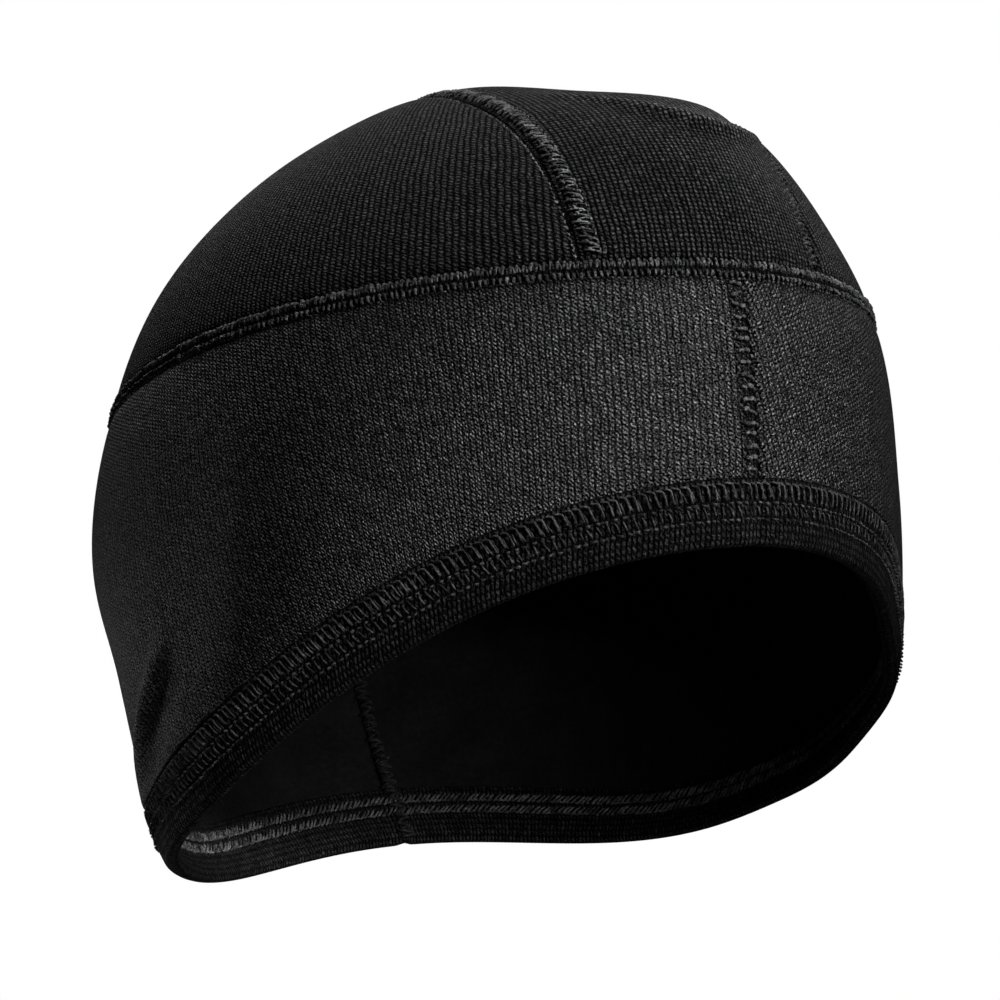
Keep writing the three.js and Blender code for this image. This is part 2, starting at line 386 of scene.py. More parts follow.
    def strip_half_width(self, depth: Array, is_front: Array) -> Array:
        """Half width of the crown's middle panel.

        Args:
            depth: depths below the top of the form.
            is_front: whether each place is in the front half.

        Returns:
            The half width at each place.
        """
        end = np.where(is_front, self.strip_front_half_width, self.strip_back_half_width)
        seam = np.where(is_front, self.band_seam_front_depth, self.band_seam_back_depth)
        climb = np.clip(1.0 - depth / seam, 0.0, 1.0)
        return end + (self.strip_top_half_width - end) * climb

    def puff(self, formed: Array) -> Array:
        """How far the cloth swells off the form between its seams, with its folds.

        Args:
            formed: places on the form.

        Returns:
            The lift at each place, none at a seam.
        """
        depth = np.maximum(-formed[..., 2], 0.0)
        azimuth = np.arctan2(formed[..., 0], -formed[..., 1])
        half_width = self.strip_half_width(depth, formed[..., 1] < 0.0)
        above = self.band_seam_depth(azimuth) - depth
        fade = 1.0 - np.exp(-np.abs(above) / self.seam_shoulder)
        off_middle = formed[..., 0] - self.worn_turn
        beside = np.abs(off_middle) - half_width
        strip = self.strip_puff * (1.0 - (off_middle / half_width) ** 2)
        flank = self.side_puff * (1.0 - np.exp(-np.maximum(beside, 0.0) / self.seam_shoulder))
        crown = np.where(beside < 0.0, strip, flank)
        lift = np.where(above < 0.0, self.band_puff, crown) * fade
        lift = lift + sum(fold.lift(formed) for fold in self.folds)
        lift = lift + sum(slack.lift(azimuth, depth) for slack in self.slacks)
        by_panel = np.where(above < 0.0, np.abs(self.off_middle_seam(formed)), np.abs(beside))
        nearest = np.minimum(np.abs(above) / self.band_dip_width, by_panel / self.panel_dip_width)
        return lift - self.seam_dip * np.exp(-(nearest**2))

    def off_middle_seam(self, formed: Array) -> Array:
        """Distance towards the wearer's left from the seam in the middle of the forehead or of the back."""
        return formed[..., 0] - np.where(formed[..., 1] < 0.0, self.front_turn, 0.0)

    def seam_rise(self, across: Array) -> Array:
        """How far the cloth beside a panel seam stands over the bottom of the seam."""
        return self.seam_dip * (1.0 - np.exp(-((across / self.panel_dip_width) ** 2)))

    def painted_seam_light(self, formed: Array) -> Array:
        """Painted light on the cloth's colour: painted shade in and beside the seam grooves and under the
        ladders of thread, and painted highlight along the fold crests.

        Args:
            formed: places on the form.

        Returns:
            A share for each place, from 0 in the bottom of a seam's groove to 1 on open cloth, and above 1 on
            a fold's painted highlight.
        """
        depth = np.maximum(-formed[..., 2], 0.0)
        azimuth = np.arctan2(formed[..., 0], -formed[..., 1])
        above = self.band_seam_depth(azimuth) - depth
        beside = np.abs(formed[..., 0] - self.worn_turn) - self.strip_half_width(depth, formed[..., 1] < 0.0)
        # Painted shade: the colour darkens towards the bottom of the band seam's groove.
        by_band = smooth_step(*self.band_shade, np.abs(above))
        # Painted shade in the crown seams' grooves and under their ladders of thread.
        light = self.ladder_light
        ladder_shadow = light + (1.0 - light) * smooth_step(*self.ladder_shade, -beside)
        by_strip = np.where(beside > 0.0, smooth_step(*self.strip_shade, beside), ladder_shadow)
        # Painted shade in the middle seam's groove and under its ladder.
        off = self.off_middle_seam(formed)
        light = self.middle_ladder_light
        middle_ladder_shadow = light + (1.0 - light) * smooth_step(*self.middle_ladder_shade, -off)
        by_middle = smooth_step(*self.middle_shade, np.abs(off)) * np.where(off > 0.0, 1.0, middle_ladder_shadow)
        # Painted highlight: the colour brightens along the fold crests.
        crest = 1.0 + sum(fold.painted_highlight * fold.share(formed) for fold in self.folds)
        return by_band * np.where(above < 0.0, by_middle, by_strip) * crest

    def cloth(self, formed: Array, inward: Array | float = 0.0) -> Array:
        """Places in the cloth.

        Args:
            formed: places on the form.
            inward: distance in from the cloth's outer face.

        Returns:
            The places in the frame, whose origin is inside the top of the crown.
        """
        azimuth = np.arctan2(formed[..., 0], -formed[..., 1])
        outward = self.outward(azimuth, np.maximum(-formed[..., 2], 0.0))
        lift = self.puff(formed) - inward
        return formed + outward * lift[..., None] + UP * self.top

    def band_seam_azimuth(self, offset: Array, is_front: bool) -> Array:
        """Azimuth at which the band seam stands a given distance off the middle plane.

        Args:
            offset: distances towards the wearer's left.
            is_front: whether to look in the front half.

        Returns:
            One azimuth for each distance.
        """
        low, high = np.zeros_like(offset), np.full_like(offset, math.pi / 2.0)
        for _ in range(SEAM_HALVINGS):
            middle = (low + high) / 2.0
            azimuth = middle if is_front else math.pi - middle
            near = self.radius(azimuth, self.band_seam_depth(azimuth)) * np.sin(azimuth) < np.abs(offset)
            low, high = np.where(near, middle, low), np.where(near, high, middle)
        turn = (low + high) / 2.0
        return np.where(offset < 0.0, -1.0, 1.0) * (turn if is_front else math.pi - turn)

    def hit(self, place: Callable[[Array], Array], shape: tuple[int, ...]) -> Array:
        """Finds where rays from inside the head meet the form.

        Args:
            place: gives the places at a distance along the rays.
            shape: the shape of the set of rays.

        Returns:
            The places on the form.
        """
        low, high = np.zeros(shape), np.full(shape, self.front.reach + self.back.reach)
        for _ in range(HALVINGS):
            middle = (low + high) / 2.0
            points = place(middle)
            azimuth = np.arctan2(points[..., 0], -points[..., 1])
            depth = np.maximum(-points[..., 2], 0.0)
            off_axis = np.hypot(points[..., 0], points[..., 1])
            inside = (points[..., 2] < 0.0) & (off_axis < self.radius(azimuth, depth))
            low, high = np.where(inside, middle, low), np.where(inside, high, middle)
        return place((low + high) / 2.0)

    def crown_lines(self, sides: Array, steps: int) -> Array:
        """Lines over the crown from the band seam in front to the band seam behind.

        Args:
            sides: places across the middle panel, from -1 to 1.
            steps: number of steps along each line.

        Returns:
            Places on the form, by line and by step.
        """
        centre = self.back.girth_depth
        ends = []
        for is_front, width in ((True, self.strip_front_half_width), (False, self.strip_back_half_width)):
            azimuth = self.band_seam_azimuth(sides * width + self.worn_turn, is_front)
            foot = self.point(azimuth, self.band_seam_depth(azimuth))
            ends.append(np.arctan2(foot[:, 2] + centre, -foot[:, 1]))
        share = np.linspace(0.0, 1.0, steps + 1)
        angle = ends[0][:, None] + (ends[1] - ends[0])[:, None] * share

        def place(length: Array) -> Array:
            """Places in the panel's lengthwise planes.

            Args:
                length: distances from the point that the panel curves about.

            Returns:
                The places.
            """
            y = -length * np.cos(angle)
            z = length * np.sin(angle) - centre
            x = sides[:, None] * self.strip_half_width(np.maximum(-z, 0.0), y < 0.0) + self.worn_turn
            return np.stack([x, y, z], axis=-1)

        return self.hit(place, angle.shape)


def head_form() -> HeadForm:
    """Reads the head form's reaches from the frame.

    Returns:
        The form with the cap's named sizes.
    """
    low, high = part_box("band_left")
    crown_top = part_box("crown_center")[1][2]
    band_puff = 0.2 * MM
    strip_puff = 0.8 * MM
    ear_fullness = 1.0 * MM
    front = Meridian(reach=-low[1] - band_puff, girth_depth=89.0 * MM, roundness=2.95,
                     tuck=2.1 * MM, tuck_drop=14.0 * MM)
    side = Meridian(reach=high[0] - ear_fullness, girth_depth=122.0 * MM, roundness=2.75,
                    tuck=6.2 * MM, tuck_drop=33.0 * MM)
    back = Meridian(reach=high[1] - band_puff, girth_depth=73.0 * MM, roundness=2.35,
                    tuck=40.0 * MM, tuck_drop=94.5 * MM)
    behind_ear = math.radians(120.0)
    patches = [
        EarPatch(height=-5.7 * MM, azimuth=behind_ear, turn=math.radians(22.0),
                 depth=138.0 * MM, spread=28.0 * MM),
        EarPatch(height=3.2 * MM, azimuth=behind_ear, turn=math.radians(35.0),
                 depth=88.0 * MM, spread=30.0 * MM),
    ]
    top = crown_top - strip_puff
    return HeadForm(front, side, back, top, ear_patches=patches, folds=worn_folds(), slacks=worn_slacks())


def worn_slacks() -> list[Slack]:
    """Lists where the worn cap is slacker or fuller than an even head form.

    Returns:
        The broad places, over the whole cap.
    """
    return [
        Slack(height=-2.4, azimuth=-100.0, turn=60.0, depth=16.0, spread=20.0),
        Slack(height=1.4, azimuth=-42.0, turn=24.0, depth=5.0, spread=9.0),
        Slack(height=-2.2, azimuth=-4.0, turn=18.0, depth=6.0, spread=8.0),
        Slack(height=1.2, azimuth=15.0, turn=12.0, depth=15.0, spread=9.0),
        Slack(height=-1.6, azimuth=32.0, turn=18.0, depth=34.0, spread=16.0),
        Slack(height=-1.6, azimuth=43.0, turn=16.0, depth=92.0, spread=24.0),
        Slack(height=1.0, azimuth=-110.0, turn=20.0, depth=104.0, spread=16.0),
        Slack(height=2.2, azimuth=56.0, turn=18.0, depth=130.0, spread=14.0),
        Slack(height=-2.0, azimuth=96.0, turn=16.0, depth=162.0, spread=14.0),
        Slack(height=1.3, azimuth=-98.0, turn=14.0, depth=155.0, spread=9.0),
    ]


def worn_folds() -> list[Fold]:
    """Lists the soft folds that the cloth has when worn.

    Returns:
        A ridge and a crease at the front of the crown, and a ridge and a crease by the right ear; the ridges
        carry painted highlights.
    """
    crest_bow = (0.0, -0.012, -0.0048)
    ear_bow = (-0.0021, -0.001, -0.0005)
    return [
        Fold(start=(-0.0165, -0.0647, -0.0117), end=(0.0232, -0.0726, -0.0196), bow=crest_bow,
             height=1.5 * MM, width=2.4 * MM, painted_highlight=1.3),
        Fold(start=(-0.016, -0.056, -0.008), end=(0.03, -0.062, -0.0135), bow=crest_bow,
             height=-1.2 * MM, width=4.0 * MM),
        Fold(start=(-0.085, -0.0181, -0.1146), end=(-0.0807, 0.0094, -0.1472), bow=ear_bow,
             height=1.8 * MM, width=2.4 * MM, painted_highlight=1.2),
        Fold(start=(-0.0858, -0.0265, -0.116), end=(-0.083, 0.0015, -0.149), bow=ear_bow,
             height=-1.0 * MM, width=4.5 * MM),
    ]


@dataclass(frozen=True)
class KnitFinish:
    """Plain knit: columns of slanted stitches with grooves between them, darkened by painted shade as well as
    by their bump.
    """

    name: str
    colour: tuple[float, float, float]
    wale: float
    course: float
    slant: float
    relief: float
    melange: float
    fleck: float
    groove: float = 0.5
    split: float = 0.0
    brick: float = 0.0
    # Share of colour kept in the gaps between stitches: painted shade.
    gap_shade: float = 0.04
    roughness: float = 0.6
    specular: float = 0.2
    sheen: float = 0.03

    def material(self) -> bpy.types.Material:
        """Builds the knit's material, drawn from the mesh's maps, with painted shade in the gaps between
        stitches and the seam map's painted shade and highlight in its colour.

        Returns:
            The material.
        """
        net = NodeNet(self.name)
        uv = net.node("ShaderNodeUVMap", uv_map="knit").outputs["UV"]
        split = net.node("ShaderNodeSeparateXYZ")
        net.link(uv, split.inputs[0])
        sway = net.math("SUBTRACT", net.noise(uv, SWAY_SCALE, 2.0), 0.5)
        tremble = net.math("SUBTRACT", net.noise(uv, TREMBLE_SCALE, 1.0), 0.5)
        wales = net.math("DIVIDE", split.outputs["X"], self.wale)
        wales = net.math("MULTIPLY_ADD", sway, 0.8, wales)
        wales = net.math("MULTIPLY_ADD", tremble, 0.5, wales)
        across = net.math("SUBTRACT", net.math("FRACT", wales), 0.5)
        courses = net.math("DIVIDE", split.outputs["Y"], self.course)
        courses = net.math("MULTIPLY_ADD", across, self.slant, courses)
        courses = net.math("MULTIPLY_ADD", net.math("FLOOR", wales), self.brick, courses)
        courses = net.math("MULTIPLY_ADD", tremble, 1.0, courses)
        beside = net.math("SUBTRACT", net.math("FRACT", courses), 0.5)
        column = net.fall(net.math("ABSOLUTE", across), 0.5 - 0.7 * self.groove, 0.5)
        cleft = net.fall(net.math("ABSOLUTE", across), 0.0, 0.16)
        column = net.math("MULTIPLY", column, net.math("MULTIPLY_ADD", cleft, -self.split, 1.0))
        stitch = net.fall(net.math("ABSOLUTE", beside), 0.06, 0.46)
        height = net.math("MULTIPLY", column, net.math("MULTIPLY_ADD", stitch, 0.75, 0.25))
        chance = net.chance(net.math("FLOOR", wales), net.math("FLOOR", courses))
        tone = net.math("MULTIPLY_ADD", chance, 2.0 * self.melange, 1.0 - self.melange)
        fibre = net.fall(net.noise(uv, FIBRE_SCALE, 2.0), 0.63, 0.37)
        fuzz = net.math("MULTIPLY_ADD", fibre, -1.7 * self.fleck, 1.0 + 0.85 * self.fleck)
        tone = net.math("MULTIPLY", tone, fuzz)
        # Painted shade: the colour darkens in the gaps between stitches.
        painted_light = net.math("MULTIPLY_ADD", net.math("POWER", height, 1.5), 1.0 - self.gap_shade, self.gap_shade)
        # The seam map adds painted shade by the seams and painted highlight on fold crests.
        seam = net.node("ShaderNodeSeparateXYZ")
        net.link(net.node("ShaderNodeUVMap", uv_map="seam").outputs["UV"], seam.inputs[0])
        painted_light = net.math("MULTIPLY", painted_light, net.math("MULTIPLY_ADD", seam.outputs["X"], 0.88, 0.12))
        tone = net.math("MULTIPLY", tone, painted_light)
        net.colour(self.colour, tone)
        net.bump(net.math("MULTIPLY_ADD", fibre, -0.3, height), self.relief)
        net.finish(self.roughness, self.specular, self.sheen)
        # The specular level follows the same painted shade and highlight.
        net.link(net.math("MULTIPLY", tone, self.specular), net.shader.inputs["Specular IOR Level"])
        return net.material


@dataclass(frozen=True)
class PileFinish:
    """The brushed inner face: short soft pile."""

    name: str
    colour: tuple[float, float, float]
    relief: float = 0.6 * MM

    def material(self) -> bpy.types.Material:
        """Builds the pile's material.

        Returns:
            The material.
        """
        net = NodeNet(self.name)
        place = net.node("ShaderNodeTexCoord").outputs["Object"]
        tuft = net.noise(place, TUFT_SCALE, 4.0)
        swirl = net.noise(place, SWIRL_SCALE, 2.0)
        tuft_tone = net.math("MULTIPLY_ADD", tuft, 1.4, 0.2)
        swirl_tone = net.math("MULTIPLY_ADD", swirl, 1.2, 0.4)
        net.colour(self.colour, net.math("MULTIPLY", tuft_tone, swirl_tone))
        net.bump(net.math("MULTIPLY_ADD", swirl, 0.5, tuft), self.relief)
        net.finish(0.95, 0.05, 0.05)
        return net.material


@dataclass(frozen=True)
class ThreadFinish:
    """Soft textured sewing thread."""

    name: str
    colour: tuple[float, float, float]
    relief: float = 0.15 * MM

    def material(self) -> bpy.types.Material:
        """Builds the thread's material.

        Returns:
            The material.
        """
        net = NodeNet(self.name)
        place = net.node("ShaderNodeTexCoord").outputs["Object"]
        ply = net.fall(net.noise(place, PLY_SCALE, 2.0), 0.66, 0.34)
        patch = net.fall(net.noise(place, PATCH_SCALE, 2.0), 0.66, 0.34)
        ply_tone = net.math("MULTIPLY_ADD", ply, -1.0, 1.35)
        patch_tone = net.math("MULTIPLY_ADD", patch, -1.3, 1.5)
        net.colour(self.colour, net.math("MULTIPLY", ply_tone, patch_tone))
        net.bump(net.math("SUBTRACT", 1.0, ply), self.relief)
        net.finish(0.5, 0.35, 0.1)
        return net.material


class NodeNet:
    """A material and short ways of adding nodes to it."""

    def __init__(self, name: str) -> None:
        """Starts a material with one surface shader.

        Args:
            name: the material's name.
        """
        self.material = bpy.data.materials.new(name)
        self.material.use_nodes = True
        self.tree = self.material.node_tree
        self.shader = self.tree.nodes["Principled BSDF"]

    def node(self, kind: str, **settings: object) -> bpy.types.Node:
        """Adds a node and sets its properties.

        Args:
            kind: the node's type.
            settings: values of its properties.

        Returns:
            The node.
        """
        made = self.tree.nodes.new(kind)
        for key, value in settings.items():
            setattr(made, key, value)
        return made

    def link(self, source: object, target: bpy.types.NodeSocket) -> None:
        """Feeds a socket from another socket or a number.

        Args:
            source: the other socket, or a number.
            target: the socket to feed.
        """
        if isinstance(source, (int, float)):
            target.default_value = source
        else:
            self.tree.links.new(source, target)

    def math(self, operation: str, *terms: object) -> bpy.types.NodeSocket:
        """Adds a math node.

        Args:
            operation: the node's operation.
            terms: sockets or numbers, as many as the operation takes.

        Returns:
            The node's result.
        """
        made = self.node("ShaderNodeMath", operation=operation)
        for term, socket in zip(terms, made.inputs):
            self.link(term, socket)
        return made.outputs[0]

    def fall(self, value: bpy.types.NodeSocket, full: float, none: float) -> bpy.types.NodeSocket:
        """Falls smoothly from 1 to 0.

        Args:
            value: the value that it follows.
            full: the value at which it is 1.
            none: the value at which it is 0.

        Returns:
            The result's socket.
        """
        made = self.node("ShaderNodeMapRange", interpolation_type="SMOOTHSTEP")
        self.link(value, made.inputs["Value"])
        low, high = min(full, none), max(full, none)
        made.inputs["From Min"].default_value = low
        made.inputs["From Max"].default_value = high
        made.inputs["To Min"].default_value = 1.0 if full < none else 0.0
        made.inputs["To Max"].default_value = 0.0 if full < none else 1.0
        return made.outputs["Result"]

    def noise(self, place: bpy.types.NodeSocket, scale: float, detail: float) -> bpy.types.NodeSocket:
        """Adds a noise texture.

        Args:
            place: the coordinates that it is laid on.
            scale: its scale.
            detail: how many finer layers it has.

        Returns:
            The socket of its value.
        """
        made = self.node("ShaderNodeTexNoise")
        made.inputs["Scale"].default_value = scale
        made.inputs["Detail"].default_value = detail
        self.link(place, made.inputs["Vector"])
        return made.outputs["Fac"]

    def chance(self, column: bpy.types.NodeSocket, row: bpy.types.NodeSocket) -> bpy.types.NodeSocket:
        """Draws a number from 0 to 1 by chance for each stitch.

        Args:
            column: the stitch's column.
            row: its row.

        Returns:
            The number's socket.
        """
        cell = self.node("ShaderNodeCombineXYZ")
        self.link(column, cell.inputs[0])
        self.link(row, cell.inputs[1])
        made = self.node("ShaderNodeTexWhiteNoise", noise_dimensions="2D")
        self.link(cell.outputs[0], made.inputs["Vector"])
        return made.outputs["Value"]

    def colour(self, base: tuple[float, float, float], tone: bpy.types.NodeSocket) -> None:
        """Colours the surface by a base colour times a tone.

        Args:
            base: the base colour.
            tone: the tone's socket.
        """
        made = self.node("ShaderNodeVectorMath", operation="SCALE")
        made.inputs[0].default_value = base
        self.link(tone, made.inputs["Scale"])
        self.link(made.outputs[0], self.shader.inputs["Base Color"])

    def bump(self, height: bpy.types.NodeSocket, relief: float) -> None:
        """Raises the surface.

        Args:
            height: the height's socket, from 0 to 1.
            relief: the height's full length.
        """
        made = self.node("ShaderNodeBump")
        made.inputs["Strength"].default_value = 1.0
        made.inputs["Distance"].default_value = relief
        self.link(height, made.inputs["Height"])
        self.link(made.outputs["Normal"], self.shader.inputs["Normal"])

    def finish(self, roughness: float, specular: float, sheen: float) -> None:
        """Sets the shader's even values on its own sockets.

        Args:
            roughness: how rough the surface is.
            specular: how strongly it reflects.
            sheen: how strong its fuzz is.
        """
        self.shader.inputs["Roughness"].default_value = roughness
        self.shader.inputs["Specular IOR Level"].default_value = specular
        self.shader.inputs["Sheen Weight"].default_value = sheen
        self.shader.inputs["Sheen Roughness"].default_value = 0.4
        self.shader.inputs["Sheen Tint"].default_value = (0.5, 0.5, 0.52, 1.0)


@dataclass
class Wardrobe:
    """The finishes that the cap's pieces share."""

    crown: KnitFinish = KnitFinish(
        "crown_knit", (0.046, 0.0462, 0.0475), wale=1.28 * MM, course=0.82 * MM, slant=0.8,
        relief=0.5 * MM, melange=0.4, fleck=1.0, groove=0.6, gap_shade=0.01, sheen=0.06)
    strip: KnitFinish = KnitFinish(
        "strip_knit", (0.048, 0.0482, 0.0495), wale=1.04 * MM, course=0.94 * MM, slant=0.3,
        relief=0.45 * MM, melange=0.45, fleck=1.0, groove=0.6, gap_shade=0.01, sheen=0.06)
    band: KnitFinish = KnitFinish(
        "band_knit", (0.026, 0.0262, 0.0268), wale=1.3 * MM, course=0.84 * MM, slant=-1.1, brick=0.5,
        relief=0.2 * MM, melange=0.4, fleck=1.6, groove=0.42, split=0.3, gap_shade=0.07,
        roughness=0.5, specular=0.9)
    hem: KnitFinish = KnitFinish(
        "hem_knit", (0.019, 0.0192, 0.0203), wale=0.95 * MM, course=1.7 * MM, slant=0.5,
        relief=0.5 * MM, melange=0.5, fleck=0.9)
    pile: PileFinish = PileFinish("brushed_pile", (0.009, 0.0091, 0.0095))
    # The threads are copies of one thread in different brightness, set per place to how bright the stitches
    # look there: painted light and shade.
    thread: ThreadFinish = ThreadFinish("sewing_thread", (0.165, 0.1663, 0.17))
    inner_thread: ThreadFinish = ThreadFinish("inner_thread", (0.11, 0.111, 0.1135))
    seam_thread: ThreadFinish = ThreadFinish("seam_thread", (0.075, 0.0756, 0.0775))
    hem_thread: ThreadFinish = ThreadFinish("hem_thread", (0.05, 0.0504, 0.0516))
    shaded_thread: ThreadFinish = ThreadFinish("shaded_thread", (0.007, 0.0071, 0.0074))

    def __post_init__(self) -> None:
        """Builds each finish's material once."""
        finishes = (
            self.crown, self.strip, self.band, self.hem, self.pile,
            self.thread, self.seam_thread, self.hem_thread, self.inner_thread, self.shaded_thread,
        )
        self.materials = {finish.name: finish.material() for finish in finishes}

    def of(self, finish: KnitFinish | PileFinish | ThreadFinish) -> bpy.types.Material:
        """The material of a finish."""
        return self.materials[finish.name]


def new_object(name: str, points: Array, faces: list,
               materials: list[bpy.types.Material]) -> bpy.types.Object:
    """Makes a mesh object and links it to the scene.

    Args:
        name: the object's name.
        points: vertex places, one a row.
        faces: vertex numbers of each face.
        materials: the material slots.

    Returns:
        The object, shaded smooth.
    """
    mesh = bpy.data.meshes.new(name)
    mesh.from_pydata(points.tolist(), [], faces)
    mesh.validate()
    made = bpy.data.objects.new(name, mesh)
    bpy.context.scene.collection.objects.link(made)
    for material in materials:
        mesh.materials.append(material)
    mesh.polygons.foreach_set("use_smooth", np.ones(len(mesh.polygons), dtype=bool))
    return made


def dress(piece: bpy.types.Object, node: str | None = None) -> None:
    """Rides a piece on the cap's body, hides the frame's node that it stands for and logs its faces.

    Args:
        piece: the visible piece.
        node: the frame's node that it stands for, if any.
    """
    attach(piece, BODY)
    if node:
        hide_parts(node)
    log.info("%s: %d faces", piece.name, len(piece.data.polygons))


@dataclass
class ClothNet:
    """A net of places on the form with its knit coordinates, made into a closed shell."""

    name: str
    formed: Array
    wale_length: Array
    course_length: Array

    def shell(self, form: HeadForm, face: bpy.types.Material, pile: bpy.types.Material) -> bpy.types.Object:
        """Makes the cloth: outer face, inner face and edges.

        Args:
            form: the head form that the net lies on.
            face: the outer face's material.
            pile: the inner face's material.

        Returns:
            The shell's object.
        """
        rows, columns = self.formed.shape[:2]
        outer = form.cloth(self.formed)
        inner = form.cloth(self.formed, form.fabric_wall)
        count = rows * columns
        points = np.concatenate([outer.reshape(-1, 3), inner.reshape(-1, 3)])
        index = np.arange(count).reshape(rows, columns)
        a, b, c, d = index[:-1, :-1], index[1:, :-1], index[1:, 1:], index[:-1, 1:]
        face_quads = np.stack([a, b, c, d], axis=-1).reshape(-1, 4)
        pile_quads = face_quads[:, ::-1] + count
        border = np.concatenate([index[0, :-1], index[:-1, -1], index[-1, :0:-1], index[:0:-1, 0]])
        following = np.roll(border, -1)
        edge_quads = np.stack([border, following, following + count, border + count], axis=-1)
        faces = np.concatenate([face_quads, pile_quads, edge_quads])
        middle = points[face_quads].mean(axis=1)
        corner = points[face_quads[:, 0]]
        normal = np.cross(points[face_quads[:, 1]] - corner, points[face_quads[:, 3]] - corner)
        centre = np.array([0.0, 0.0, form.top - form.back.girth_depth])
        if np.sum(normal * (middle - centre)) < 0.0:
            faces = faces[:, ::-1]
        made = new_object(self.name, points, faces.tolist(), [face, pile])
        slots = np.zeros(len(faces), dtype=np.int32)
        slots[len(face_quads) : len(face_quads) + len(pile_quads)] = Cloth.PILE.value
        made.data.polygons.foreach_set("material_index", slots)
        knit = np.stack([self.wale_length, self.course_length], axis=-1).reshape(-1, 2)
        write_map(made.data, "knit", np.concatenate([knit, knit]))
        # The seam map carries painted shade by the seams and painted highlight on fold crests, as a factor on
        # the knit's colour.
        shade = form.painted_seam_light(self.formed).reshape(-1, 1) * np.ones(2)
        write_map(made.data, "seam", np.concatenate([shade, shade]))
        return made


def write_map(mesh: bpy.types.Mesh, name: str, values: Array) -> None:
    """Stores two numbers for each vertex as a UV map.

    Args:
        mesh: the mesh to write to.
        name: "knit" for metres across the wales and along them, or "seam" for the painted shade by the seams
            and painted highlight on fold crests.
        values: two numbers for each vertex.
    """
    layer = mesh.uv_layers.new(name=name)
    corners = np.zeros(len(mesh.loops), dtype=np.int32)
    mesh.loops.foreach_get("vertex_index", corners)
    layer.data.foreach_set("uv", values[corners].astype(np.float32).ravel())


@dataclass
class CrownStrip:
    """The crown's middle panel, from the forehead over the top to the back."""

    form: HeadForm
    wardrobe: Wardrobe
    gap: float = 0.12 * MM
    length_segments: int = 210
    width_segments: int = 46
    line_steps: int = 160

    def build(self) -> bpy.types.Object:
        """Builds and dresses the panel.

        Returns:
            The panel's object.
        """
        sides = np.linspace(-1.0, 1.0, self.width_segments + 1)
        lines = self.form.crown_lines(sides, self.line_steps)
        gap, wardrobe = self.gap, self.wardrobe
        lines = np.stack([even_steps(line, gap, gap, self.length_segments, EDGE_EASE) for line in lines])
        crosswise = lines.transpose(1, 0, 2)
        formed = np.stack([even_steps(row, gap, gap, self.width_segments, EDGE_EASE) for row in crosswise])
        middle = formed[:, self.width_segments // 2]
        along = arc_lengths(middle)[:, None] + np.zeros(self.width_segments + 1)
        across = np.stack([arc_lengths(row) - arc_lengths(row)[-1] / 2.0 for row in formed])
        net = ClothNet("crown_center_knit", formed, across, along)
        piece = net.shell(self.form, wardrobe.of(wardrobe.strip), wardrobe.of(wardrobe.pile))
        dress(piece, "crown_center")
        return piece


@dataclass
class CrownSide:
    """A side panel of the crown, whose wales run up and over towards the middle panel."""

    form: HeadForm
    wardrobe: Wardrobe
    side: Wearer
    gap: float = 0.12 * MM
    tip: float = 2.0 * MM
    length_segments: int = 200
    height_segments: int = 76
    line_steps: int = 240
    fan_far: float = 20.0 * MM
    fan_back: float = 20.0 * MM
    fan_radius: float = 104.0 * MM

    def build(self) -> bpy.types.Object:
        """Builds and dresses the panel.

        Returns:
            The panel's object.
        """
        seam_line = self.form.crown_lines(np.array([float(self.side.value)]), self.line_steps)[0]
        tops = even_steps(seam_line, self.tip, self.tip, self.length_segments)
        centre = self.form.back.girth_depth
        start = np.arctan2(tops[:, 0] * self.side.value, tops[:, 2] + centre)
        end = self.foot_angles(tops, centre)
        share = np.linspace(0.0, 1.0, DRAFT_POINTS)
        angle = start[:, None] + (end - start)[:, None] * share

        def place(length: Array) -> Array:
            """Places in the panel's crosswise planes.

            Args:
                length: distances from the point that the panel curves about.

            Returns:
                The places.
            """
            x = self.side.value * length * np.sin(angle)
            z = length * np.cos(angle) - centre
            return np.stack([x, tops[:, 1][:, None] + 0.0 * x, z], axis=-1)

        columns = self.form.hit(place, angle.shape)
        gap, wardrobe, count = self.gap, self.wardrobe, self.height_segments
        formed = np.stack([even_steps(column, gap, gap, count, EDGE_EASE) for column in columns])
        name = "crown_left" if self.side is Wearer.LEFT else "crown_right"
        net = ClothNet(name + "_knit", formed, *self.knit_lengths(formed, centre))
        piece = net.shell(self.form, wardrobe.of(wardrobe.crown), wardrobe.of(wardrobe.pile))
        dress(piece, name)
        return piece

    def knit_lengths(self, formed: Array, centre: float) -> tuple[Array, Array]:
        """Distances across the wales, which fan out from the crown's far side, and along them.

        Args:
            formed: places on the form.
            centre: depth of the point that the panel curves about.

        Returns:
            The two distances at each place.
        """
        across = -formed[..., 1] + self.fan_back
        outward = formed[..., 0] * self.side.value + self.fan_far
        climb = np.arctan2(formed[..., 2] + centre, np.hypot(formed[..., 0], formed[..., 1]))
        return self.fan_radius * np.arctan2(across, outward), self.form.front.reach * climb

    def foot_angles(self, tops: Array, centre: float) -> Array:
        """Angles, in each crosswise plane, at which the form meets the band seam.

        Args:
            tops: places along the crown seam.
            centre: depth of the point that the angles turn about.

        Returns:
            One angle for each place.
        """
        low = np.full(len(tops), math.radians(2.0))
        high = np.full(len(tops), math.radians(150.0))
        for _ in range(HALVINGS):
            middle = (low + high) / 2.0

            def place(length: Array) -> Array:
                """Places at the angles under trial."""
                x = self.side.value * length * np.sin(middle)
                return np.stack([x, tops[:, 1], length * np.cos(middle) - centre], axis=-1)

            found = self.form.hit(place, middle.shape)
            azimuth = np.arctan2(found[:, 0], -found[:, 1])
            above = -found[:, 2] < self.form.band_seam_depth(azimuth)
            low, high = np.where(above, middle, low), np.where(above, high, middle)
        return (low + high) / 2.0


